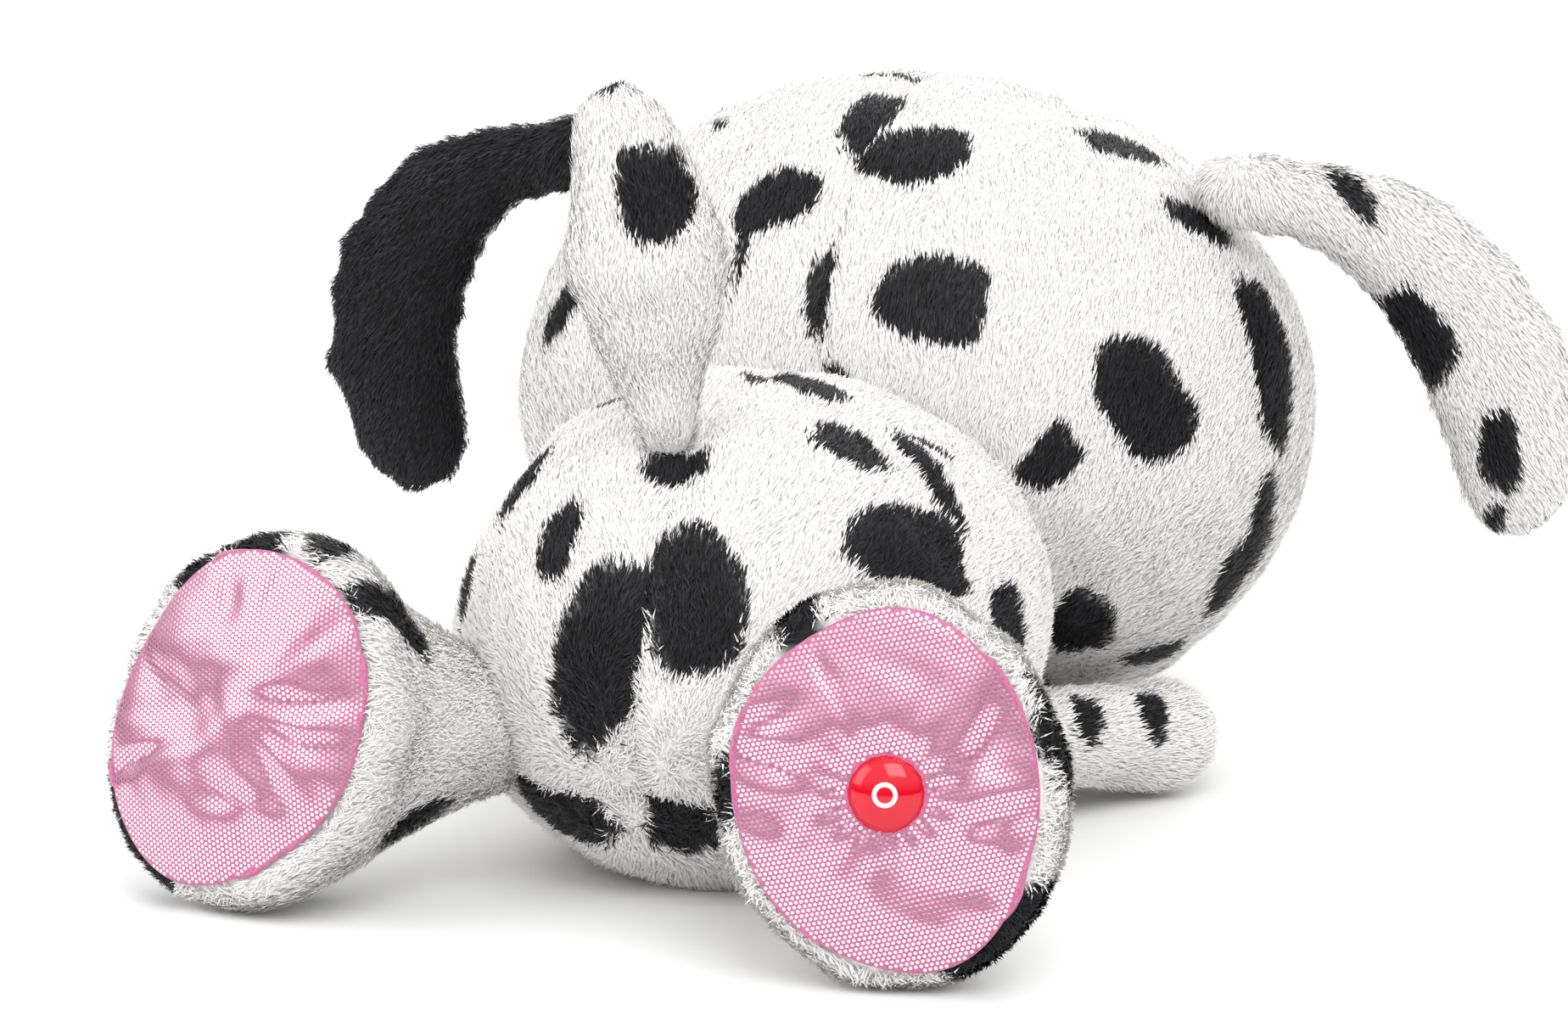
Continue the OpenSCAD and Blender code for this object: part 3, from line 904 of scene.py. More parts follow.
@dataclass
class Head:
    """The round head: a face panel and two side panels that meet down the back of the head."""

    finishes: Finishes
    lump: Ball = Ball((0, -88, 62.3), (75.2, 61.2, 61.2))
    seam_front: float = -92
    face_half: float = 25
    spots: tuple[Spot, ...] = (
        Spot((5, -88, 124), (6, 2.6), 60),
        Spot((1, -64, 120), (10, 4.4), 58),
        Spot((-10, -56, 114), (10.6, 7.2), 14, 2.3),
        Spot((13, -45, 106), (8.8, 6.2), 42, 2.2),
        Spot((17, -39, 97), (7, 1.3), 95),
        Spot((0, -33, 92), (8.2, 3.2), 92, 2.4, ((0, 0.55),)),
        Spot((-21, -36, 91), (11, 8.6), 172, 2.2, ((-8, 0.80), (-100, 0.9))),
        Spot((-6, -28, 77), (4, 1.5), 140),
        Spot((-42, -83, 114), (9.2, 4.6), 140, 2.2),
        Spot((-58, -78, 101), (8, 4), 138, 2.3),
        Spot((-57, -48, 73), (12.2, 8.6), 118, 2.2, ((210, 0.9),)),
        Spot((-42, -36, 64), (6.2, 5.2), 36, 2.8, ((135, 0.6),)),
        Spot((-73, -76, 76), (16, 6.5), 88, 2.6),
        Spot((-71, -74, 45), (11, 4), 100, 2.3),
        Spot((-66, -72, 35), (8, 5), 100, 2.2),
        Spot((-44, -49, 31), (7.6, 6.4), 122, 2.3),
        Spot((-53, -69, 20), (9, 3.5), 175, 2.2),
        Spot((58, -53, 82), (8.5, 5.4), 60, 2.4),
        Spot((34, -71, 115), (3, 1.4), 168),
        Spot((33, -112, 112), (8, 5.5), 30, 2.4),
        Spot((-14, -124, 108), (6, 4.4), 160, 2.3),
        Spot((60, -108, 88), (9, 6), 75, 2.4),
        Spot((52, -60, 40), (9, 6.5), 20, 2.5),
        Spot((66, -98, 38), (7, 5), 120, 2.3),
        Spot((-61, -120, 50), (8, 6), 80, 2.4),
        Spot((-30, -52, 12), (8, 6), 10, 2.3),
        Spot((20, -110, 6), (9, 7), 40, 2.4),
    )

    def seams(self) -> list[Seam]:
        """The seam down the back of the head, and those beside and behind the face panel."""
        front, half = self.seam_front, self.face_half
        back = Seam((0, 0, 0), (1, 0, 0), 1.5, 2.4, lambda co: co[:, 1] > front)
        beside = [Seam((x, 0, 0), (1, 0, 0), 1.2, 2.4, lambda co: co[:, 1] < front)
                  for x in (half, -half)]
        behind = Seam((0, front, 0), (0, 1, 0), 1.0, 2.4, lambda co: np.abs(co[:, 0]) < half)
        return [back, *beside, behind]

    def build(self) -> None:
        """Make the panels and their pile, and let them ride on the head."""
        front, half = self.seam_front, self.face_half

        def in_face(co: Array) -> Array:
            """Which face centres belong to the face panel."""
            return (co[:, 1] < front) & (np.abs(co[:, 0]) < half)

        panels = [("head_face_panel", "head_centre_panel", in_face)]
        for side in Side:
            panels.append((
                f"head_side_skin_{side.word}", f"head_side_panel_{side.word}",
                lambda co, s=side.value: ~in_face(co) & (co[:, 0] * s > 0)))
        planes = [((0, front, 0), (0, 1, 0)), *(((x, 0, 0), (1, 0, 0)) for x in (0, half, -half))]
        eyes = [Ball(tuple((low + high)[k] / 2 / MM for k in range(3)), (6.2, 6.2, 6.2))
                for low, high in (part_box(f"eye_{side.word}") for side in Side)]
        neck, muzzle = Ball((0, -41, 50), (28, 28, 28)), Ball((0, -142, 44), (25, 14, 17))
        SewnSkin(
            self.finishes, "head_form", self.lump, self.seams(), ((31, 38, 0.5), (32, 15, 0.2)),
            self.spots, planes, panels, brush((0, -0.5, 0.85)), 100, within(neck, muzzle, *eyes),
            lambda piece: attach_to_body(piece, "head")).build()


# ---------- torso ----------


@dataclass
class Torso:
    """The body: two back panels that meet in a centre seam, and the belly panel."""

    finishes: Finishes
    lump: Ball = Ball((0, 0, 38), (51.2, 59.2, 45.2))
    belly_seam: float = 20
    bend_from: float = -18
    bend_to: float = -46
    spots: tuple[Spot, ...] = (
        Spot((-8, 0, 84), (11, 4.8), 58, 2.3),
        Spot((-24, 19, 76), (7.2, 4.8), 112, 2.3),
        Spot((-36, 10, 70), (10.5, 3.2), 92, 2.2),
        Spot((-33, 1, 74), (4.7, 1.5), 119),
        Spot((-39, 26, 61), (12.6, 8.4), 156, 2.8),
        Spot((19, 46, 62), (7.6, 4.6), 118, 2.4),
        Spot((7, 58, 46), (15.8, 7.6), 80, 2.5, ((180, 0.98),)),
        Spot((-9, 55, 56), (12.8, 8), 102, 2.7),
        Spot((33, 26, 67), (10, 3.8), 130, 2.2),
        Spot((43, 33, 49), (6, 4), 80, 2.3),
        Spot((18, 47, 15), (12, 5.4), 172, 2.4),
        Spot((-5, 52, 15), (6.4, 6), 170, 2.8),
        Spot((1, 36, 75), (6, 4.4), 175, 2.4),
        Spot((-15, 54, 23), (6, 1.4), 90),
        Spot((-50, 10, 44), (8, 6), 70, 2.4),
        Spot((48, -8, 52), (9, 6.5), 30, 2.4),
        Spot((24, 2, 79), (7, 5), 60, 2.3),
        Spot((-44, -16, 26), (7, 5), 130, 2.3),
        Spot((45, 14, 22), (8, 5), 150, 2.3),
        Spot((20, -14, 1), (11, 8), 40, 2.4),
        Spot((-22, -4, 2), (9, 7), 100, 2.4),
    )

    def seams(self) -> list[Seam]:
        """The centre seam of the back, and the seam round the belly panel."""
        above = self.belly_seam
        return [
            Seam((0, 0, 0), (1, 0, 0), 1.8, 2.6, lambda co: co[:, 2] > above),
            Seam((0, 0, above), (0, 0, 1), 1.2, 2.6),
        ]

    def build(self) -> None:
        """Make the panels and their pile."""
        above = self.belly_seam
        panels = [("belly_skin", "belly_panel", lambda co: co[:, 2] < above)]
        for side in Side:
            panels.append((
                f"back_skin_{side.word}", f"back_panel_{side.word}",
                lambda co, s=side.value: (co[:, 2] > above) & (co[:, 0] * s > 0)))
        planes = [((0, 0, 0), (1, 0, 0)), ((0, 0, above), (0, 0, 1))]
        SewnSkin(
            self.finishes, "torso_form", self.lump, self.seams(), ((41, 34, 0.6), (42, 13, 0.25)),
            self.spots, planes, panels, brush((0, -0.9, 0.35)), 200, within(UNDER_HEAD_SKIN),
            self.bend).build()

    def bend(self, piece: Piece) -> None:
        """Bake a piece's placement into its own mesh."""
        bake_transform(piece)


# ---------- limbs ----------


@dataclass
class Limb:
    """A stuffed limb: one closed cover of plush sewn on at its root.

    Attributes:
        finishes: The toy's finishes.
        body: The body it rides on, whose name its pieces and nodes start with.
        comb: The way its pile lies.
        seed: Seed of its pile.
        spots: Its spots.
        filling: The last word of the node that its cover wraps.
        covers: The last words of the nodes that its cover stands for.
        out: How far the cover stands off its filling.
        voxel: Size of the remesh.
        soft: How often its surface is evened out after shaping.
        black: Whether it is black all over.
        bare: Tells where no pile grows.
        pile: Its pile.
        firm: How firmly it is stuffed; not used.
        swell: The most that it is puffed up.
        shape: A further shaping of its points, in millimetres.
    """

    finishes: Finishes
    body: str
    comb: PerPoint
    seed: int
    spots: tuple[Spot, ...] = ()
    filling: str = "stuffing"
    covers: tuple[str, ...] = ("cover",)
    out: float = 1.9
    voxel: float = 2.6
    soft: int = 3
    black: bool = False
    bare: PerPoint | None = None
    pile: Pile = Pile()
    firm: float = 0.6
    swell: float = 0.8
    shape: PerPoint | None = None

    def build(self) -> None:
        """Make the cover and its pile."""
        cover = form_of_node(f"{self.body}_skin", f"{self.body}_{self.filling}", self.out, self.voxel)
        if self.shape is not None:
            set_points(cover, self.shape(points(cover) / MM) * MM)
            soften(cover, self.soft)
        inflate(cover, np.zeros(len(cover.data.vertices), bool), self.swell)
        refine(cover, 1)
        ruffle(cover, (self.seed, 20, 0.4))
        keep_off_floor(cover)
        ink = Print(self.spots, all_black=self.black).fit(cover)
        for pile in self.pile.grow(f"{self.body}_skin_pile", cover, self.comb, ink, self.finishes,
                                   self.seed, self.bare):
            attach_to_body(pile, self.body)
        ink.dye(cover)
        dress(cover, self.finishes.skin)
        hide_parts(*(f"{self.body}_{word}" for word in self.covers))
        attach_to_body(cover, self.body)
        LOG.info("%s", cover.name)


@dataclass(frozen=True)
class Disc:
    """Where a sole lies: its middle, its short and long axes and its outward normal, in metres."""

    middle: Array
    across: Array
    along: Array
    out: Array

    @classmethod
    def of_node(cls, node: str) -> "Disc":
        """Read the place of a sole from the frame's own solid."""
        co = points(frame["nodes"][node])
        middle = (co.max(0) + co.min(0)) / 2
        for _ in range(3):
            away = co - middle
            axes = np.linalg.svd(away - away.mean(0), full_matrices=False)[2]
            spans = [(away @ axis).max() + (away @ axis).min() for axis in axes]
            middle = middle + sum(axis * span / 2 for axis, span in zip(axes, spans))
        along, across, out = axes
        out = out if out[1] > 0 else -out
        along = along if along[2] > 0 else -along
        return cls(middle, np.cross(along, out), along, out)

    def rim(self, angle: float, drop: float) -> Triple:
        """A point on the foot's rim, at an angle in degrees and this far behind the sole."""
        turn = math.radians(angle)
        x, y, down = ([value] for value in (30 * math.cos(turn), 34 * math.sin(turn), -drop))
        return tuple(self.place(np.array(x), np.array(y), np.array(down))[0] / MM)

    def pad_leg(self, co: Array) -> Array:
        """Shape a leg's cover: a fuller shank, a wider rim, and a flat seat under the sole.

        Args:
            co: The cover's points, in millimetres.

        Returns:
            The shaped points.
        """
        away = co - self.middle / MM
        x, y, high = away @ self.across, away @ self.along, away @ self.out
        shank = np.exp(-(((high + 27) / 13) ** 2))
        rim = np.exp(-(((high + 2) / 6) ** 2))
        wider = 1 + 0.20 * shank + 0.035 * rim
        seat = np.hypot(x / 25.4, y / 30.2)
        low = np.where((seat < 1) & (high > -6), np.minimum(high, -1.6), high)
        flat = (x * wider)[:, None] * self.across + (y * wider)[:, None] * self.along
        return self.middle / MM + flat + low[:, None] * self.out

    def place(self, x: Array, y: Array, height: Array) -> Array:
        """Points from flat places on the disc, all in millimetres, to the frame in metres."""
        flat = x[:, None] * self.across + y[:, None] * self.along + height[:, None] * self.out
        return self.middle + flat * MM


@dataclass(frozen=True)
class Fold:
    """A fold or dent in a sole's fabric: its middle, its lean, its length and width, and its depth."""

    at: tuple[float, float]
    lean: float
    size: tuple[float, float]
    depth: float

    def depth_at(self, x: Array, y: Array) -> Array:
        """How far the fabric dips at each place, in millimetres."""
        c, s = math.cos(math.radians(self.lean)), math.sin(math.radians(self.lean))
        dx, dy = x - self.at[0], y - self.at[1]
        along, across = (dx * c + dy * s) / self.size[0], (dy * c - dx * s) / self.size[1]
        bend = across + 0.35 * np.sin(along * 1.7)
        return 0.8 * self.depth * np.exp(-(along**2) - (bend / 1.5) ** 2)


FOLDS = {
    Side.RIGHT: (
        Fold((-17, 15), 25, (7, 1.8), 1.1), Fold((-19, 9), -10, (6, 1.6), 1.0),
        Fold((-21, 2), 15, (5, 3), 1.3), Fold((-15, -4), 60, (6, 1.6), 0.6),
        Fold((20, 9), 80, (8, 2), 1.3), Fold((16, 3), 70, (6, 1.5), 0.7),
        Fold((17, -7), 20, (6, 1.5), 0.9), Fold((0, -12), 5, (8, 4), 1.5),
        Fold((6, -18), 30, (7, 3.4), 1.2), Fold((-6, 14), 20, (9, 4), -0.7),
        Fold((8, 19), 150, (7, 3), 0.6), Fold((-9, -18), 120, (8, 3), -0.6),
    ),
    Side.LEFT: (
        Fold((-10, -3), 85, (9, 5.5), 2.0), Fold((9, 8), 30, (7, 1.7), 1.2),
        Fold((13, 3), 10, (6, 1.5), 1.1), Fold((12, -4), -25, (7, 1.8), 1.1),
        Fold((7, -11), 20, (7, 2.2), 0.9), Fold((14, 14), 60, (6, 3), 0.9),
        Fold((2, 2), 75, (10, 3), -0.9), Fold((-2, -16), 140, (8, 3), -0.6),
        Fold((-12, 15), 50, (7, 3), 0.7),
    ),
}


@dataclass
class Sole:
    """A padded sole of pink fabric with foil dots in staggered rows."""

    finishes: Finishes
    side: Side
    wide: float = 25.0
    tall: float = 29.8
    dome: float = 4.0
    rows: int = 76
    pitch: float = 0.90
    dot: float = 0.325
    button: float = 6.7
    seed: int = 5

    @property
    def disc(self) -> Disc:
        """Where the sole lies."""
        return Disc.of_node(f"sole_{self.side.word}")

    def outline(self, angle: Array) -> Array:
        """The cut's radius as a share of the oval, a little uneven as hand-sewn ones are."""
        three = 0.022 * np.sin(3 * angle + self.side.value)
        return 1 + three + 0.014 * np.sin(5 * angle + 2) + 0.01 * np.sin(2 * angle)

    def height(self, x: Array, y: Array) -> Array:
        """Height over the flat disc: a dome with puckers, folds and the button's dimple."""
        angle = np.arctan2(y / self.tall, x / self.wide)
        reach = np.hypot(x / self.wide, y / self.tall) / self.outline(angle)
        rng = np.random.default_rng(self.seed + self.side.value)
        high = self.dome * (1 - np.clip(reach, 0, 1) ** 2.6)
        for _ in range(11):
            where, spread = rng.uniform(-math.pi, math.pi), rng.uniform(0.07, 0.16)
            turn = np.angle(np.exp(1j * (angle - where)))
            fold = np.exp(-((turn / spread) ** 2)) * np.exp(-(((reach - 0.78) / 0.2) ** 2))
            high = high - rng.uniform(0.3, 0.7) * fold
        for fold in FOLDS[self.side]:
            high = high - fold.depth_at(x, y)
        high = high + 0.07 * np.sin(x * 0.6 + np.sin(y * 0.3) * 2) * np.sin(y * 0.45 + 1)
        if self.side is Side.RIGHT:
            from_button = np.hypot(x, y)
            fade = np.exp(-((from_button - self.button) / 3.2))
            gathers = 0.16 * np.sin(np.arctan2(y, x) * 17) * fade
            high = high + np.where(from_button > self.button * 0.9, gathers, 0)
            high = high - 1.5 * np.exp(-((from_button / (self.button * 1.25)) ** 4))
        return np.where(reach > 0.999, 0, high) - 0.2

    def cloth(self) -> Piece:
        """The pink fabric, puffed up over the stuffing."""
        bpy.ops.mesh.primitive_grid_add(x_subdivisions=self.rows, y_subdivisions=self.rows, size=2)
        cloth = bpy.context.object
        cloth.name = f"sole_cloth_{self.side.word}"
        flat = points(cloth)
        x = flat[:, 0] * np.sqrt(1 - flat[:, 1] ** 2 / 2)
        y = flat[:, 1] * np.sqrt(1 - flat[:, 0] ** 2 / 2)
        shape = self.outline(np.arctan2(y, x))
        x, y = x * self.wide * shape, y * self.tall * shape
        set_points(cloth, self.disc.place(x, y, self.height(x, y)))
        apply_modifier(cloth, "SOLIDIFY", thickness=0.8 * MM, offset=-1)
        outward(cloth)
        dress(cloth, self.finishes.sole)
        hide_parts(f"sole_{self.side.word}")
        return cloth

    def dots(self) -> Piece:
        """The foil dots, each a small six-sided cap."""
        across = np.arange(-self.wide, self.wide, self.pitch)
        row = self.pitch * 0.87
        x, y = (grid.ravel() for grid in np.meshgrid(across, np.arange(-self.tall, self.tall, row)))
        x = x + np.where(np.round(y / row).astype(int) % 2 == 0, 0, self.pitch / 2)
        outline = self.outline(np.arctan2(y / self.tall, x / self.wide))
        kept = np.hypot(x / self.wide, y / self.tall) / outline < 0.985
        if self.side is Side.RIGHT:
            kept &= np.hypot(x, y) > self.button
        x, y = x[kept], y[kept]
        turns = np.arange(6) * math.pi / 3
        rim_x = (x[:, None] + self.dot * np.cos(turns)).ravel()
        rim_y = (y[:, None] + self.dot * np.sin(turns)).ravel()
        tops = self.disc.place(x, y, self.height(x, y) + 0.09)
        rims = self.disc.place(rim_x, rim_y, self.height(rim_x, rim_y) + 0.07)
        count = len(x)
        first = count + np.arange(count)[:, None] * 6
        ring = np.arange(6)
        tip = np.repeat(np.arange(count)[:, None], 6, 1)
        faces = np.stack([tip, first + ring, first + (ring + 1) % 6], 2).reshape(-1, 3)
        dots = new_mesh(f"sole_dots_{self.side.word}", np.concatenate([tops, rims]), faces)
        dress(dots, self.finishes.foil)
        return dots

    def build(self) -> None:
        """Make the sole and let it ride on its leg."""
        for piece in (self.cloth(), self.dots()):
            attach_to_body(piece, f"rear_leg_{self.side.word}")
            LOG.info("%s", piece.name)


@dataclass
class Button:
    """The glossy round button in the middle of the right sole, with a plain pale ring on it."""

    finishes: Finishes
    radius: float = 6.6
    rise: float = 4.0
    ring: float = 1.7

    def build(self) -> None:
        """Make the cap and the ring, and let them ride on the right leg."""
        disc = Disc.of_node("sole_right")
        turn = Matrix((disc.across, disc.along, disc.out)).transposed().to_4x4()
        seat = Vector(disc.place(np.zeros(1), np.zeros(1), np.full(1, 1.1))[0])
        self.finish(self.cap(), turn, seat, self.finishes.red)
        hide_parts("sole_button")
        self.finish(self.pale_ring(), turn, seat, self.finishes.pale)

    def cap(self) -> Piece:
        """A low dome with a rolled edge, turned from a sphere."""
        cap = unit_sphere("button_cap", 64, 32)
        co = points(cap)
        up = np.clip(co[:, 2], 0, 1)
        flat = np.hypot(co[:, 0], co[:, 1])
        co[:, :2] *= self.radius * MM
        co[:, 2] = np.where(co[:, 2] > 0, up ** 0.9 * self.rise, co[:, 2] * 0.9) * MM
        co[:, 2] += np.where((flat > 0.96) & (up < 0.3), 0.15 * MM, 0)
        set_points(cap, co)
        return cap

    def pale_ring(self) -> Piece:
        """A thin ring printed on the top of the dome."""
        bpy.ops.mesh.primitive_torus_add(major_radius=self.ring * MM, minor_radius=0.42 * MM,
                                         major_segments=48, minor_segments=10)
        ring = bpy.context.object
        ring.name = "button_ring"
        co = points(ring)
        top = self.rise * (1 - (self.ring / self.radius) ** 2) ** 0.45
        co[:, 2] = co[:, 2] * 0.35 + (top - 0.02) * MM
        set_points(ring, co)
        return ring

    def finish(self, piece: Piece, turn: Matrix, seat: Vector,
               material: bpy.types.Material) -> None:
        """Seat a part of the button on the sole and dress it."""
        piece.data.transform(Matrix.Translation(seat) @ turn)
        dress(piece, material)
        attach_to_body(piece, "rear_leg_right")
        LOG.info("%s", piece.name)


# ---------- legs, ears and tail ----------


FOOT_SPOTS = {
    Side.LEFT: (
        Spot((80, 66, 58), (9, 4), 130, 2.4), Spot((53, 60, 62), (5, 4), 0, 2.4),
        Spot((42, 64, 50), (9, 4), 120, 2.4), Spot((42, 60, 18), (8, 4), 20, 2.3),
        Spot((92, 68, 16), (8, 5), 60, 2.4), Spot((82, 72, 5), (9, 6), 20, 2.4),
        Spot((60, 62, 4), (6, 4), 160, 2.3),
    ),
    Side.RIGHT: (
        Spot((-35, 77, 61), (6, 3.4), 150, 2.4), Spot((-27, 84, 32), (5.7, 2.8), 80, 2.3),
        Spot((-74, 76, 12), (10, 6), 23, 2.4), Spot((-79, 68, 44), (10, 2.4), 95, 2.3),
        Spot((-50, 70, 4), (5, 4), 20, 2.3),
    ),
}
# Place round the rim in degrees, distance behind the sole, half length and width, and tilt.
RIM_SPOTS = {
    Side.LEFT: ((-108, 2, (10, 5), 150), (126, 3, (8, 4), 40)),
    Side.RIGHT: (
        (-66, 2, (9, 5), 30), (110, 3, (7, 3.4), 160), (4, 3, (6, 3), 90), (174, 3, (4, 2), 90)),
}
EAR_SPOTS = {
    Side.LEFT: (),
    Side.RIGHT: (
        Spot((-85, -80, 109), (6.1, 2.2), 137, 2.3), Spot((-97, -79, 83), (9.6, 6.4), 118, 3.2),
        Spot((-114, -78, 64), (7.6, 3.8), 95, 2.4), Spot((-112, -80, 50), (4.5, 2), 60, 2.3),
        Spot((-88, -90, 92), (7, 5), 60, 2.4), Spot((-108, -90, 62), (6, 5), 100, 2.4),
    ),
}
TAIL_SPOTS = (
    Spot((3, 40, 121), (8.4, 6.4), 100, 2.6, ((180, 0.95),)), Spot((15, 33, 140), (3.4, 2.6), 30, 2.3),
    Spot((10, 20, 112), (7, 5), 80, 2.4),
)


def under_sole(disc: Disc) -> PerPoint:
    """A test of which points lie under a sole's fabric or inside the torso."""

    def test(co: Array) -> Array:
        """Which points are covered."""
        away = (co - disc.middle) / MM
        seat = np.hypot(away @ disc.across / 24.6, away @ disc.along / 29.4)
        return (seat < 1) & (away @ disc.out > -3) | within(UNDER_TORSO_SKIN)(co)

    return test


def fuller_tail(co: Array) -> Array:
    """Widen the tail at a third of its length and near its tip."""
    rise = (co[:, 2] - 78) / 62
    middle = 4.5 + 7.6 * rise
    third = 0.24 * np.exp(-(((rise - 0.36) / 0.28) ** 2))
    tip = 0.22 * np.exp(-(((rise - 0.85) / 0.2) ** 2))
    co[:, 0] = middle + (co[:, 0] - middle) * (1.12 + third + tip)
    return co


def wider_ear(side: Side) -> PerPoint:
    """A shaping of one ear's points: wider from its root on."""
    root = np.array(Vector((side.value * 60.3, -84, 108.2)))

    def shape(co: Array) -> Array:
        """The ear's points, shaped."""
        away = co - root
        axis = (co.max(0) + co.min(0)) / 2 - root
        axis /= np.linalg.norm(axis)
        flat = np.array((axis[2], 0, -axis[0]))
        flat /= np.linalg.norm(flat)
        share = np.clip((away @ axis) / 20, 0, 1)
        return co + ((away @ flat) * 0.26 * share)[:, None] * flat

    return shape


def legs(finishes: Finishes) -> list[Limb]:
    """The rear and the front leg of each side."""
    made = []
    in_torso = within(UNDER_TORSO_SKIN)
    for side in Side:
        sign = side.value
        disc = Disc.of_node(f"sole_{side.word}")
        rim = tuple(Spot(disc.rim(angle, drop), half, tilt, 2.5)
                    for angle, drop, half, tilt in RIM_SPOTS[side])
        made.append(Limb(
            finishes, f"rear_leg_{side.word}", brush((0, 0, 0), (sign * 38, 38, 27)), 400 + sign * 30,
            FOOT_SPOTS[side] + rim, bare=under_sole(disc), shape=disc.pad_leg))
        spots = (Spot((sign * 53, -29, 20), (4.4, 3.4), 80, 2.2),
                 Spot((sign * 62, -42, 19), (4.6, 3.6), 70, 2.2))
        made.append(Limb(
            finishes, f"front_leg_{side.word}", brush((sign * 0.5, -0.8, -0.1)), 500 + sign * 30,
            spots, bare=in_torso))
    return made


def ears(finishes: Finishes) -> list[Limb]:
    """The black left ear and the spotted right ear."""
    return [
        Limb(finishes, f"ear_{side.word}",
             brush((side.value * 0.3, 0, -0.9), (side.value * 64, -84, 110)), seed,
             EAR_SPOTS[side], "padding", ("outer", "lining"), out=2.2, soft=9,
             black=side is Side.LEFT, bare=within(UNDER_HEAD_SKIN), shape=wider_ear(side))
        for side, seed in ((Side.LEFT, 600), (Side.RIGHT, 640))
    ]


def tail(finishes: Finishes) -> Limb:
    """The stuffed tail that stands up."""
    return Limb(finishes, "tail", brush((0, 0.1, 1)), 680, TAIL_SPOTS, soft=16,
                bare=within(UNDER_TORSO_SKIN), shape=fuller_tail)


# ---------- face ----------


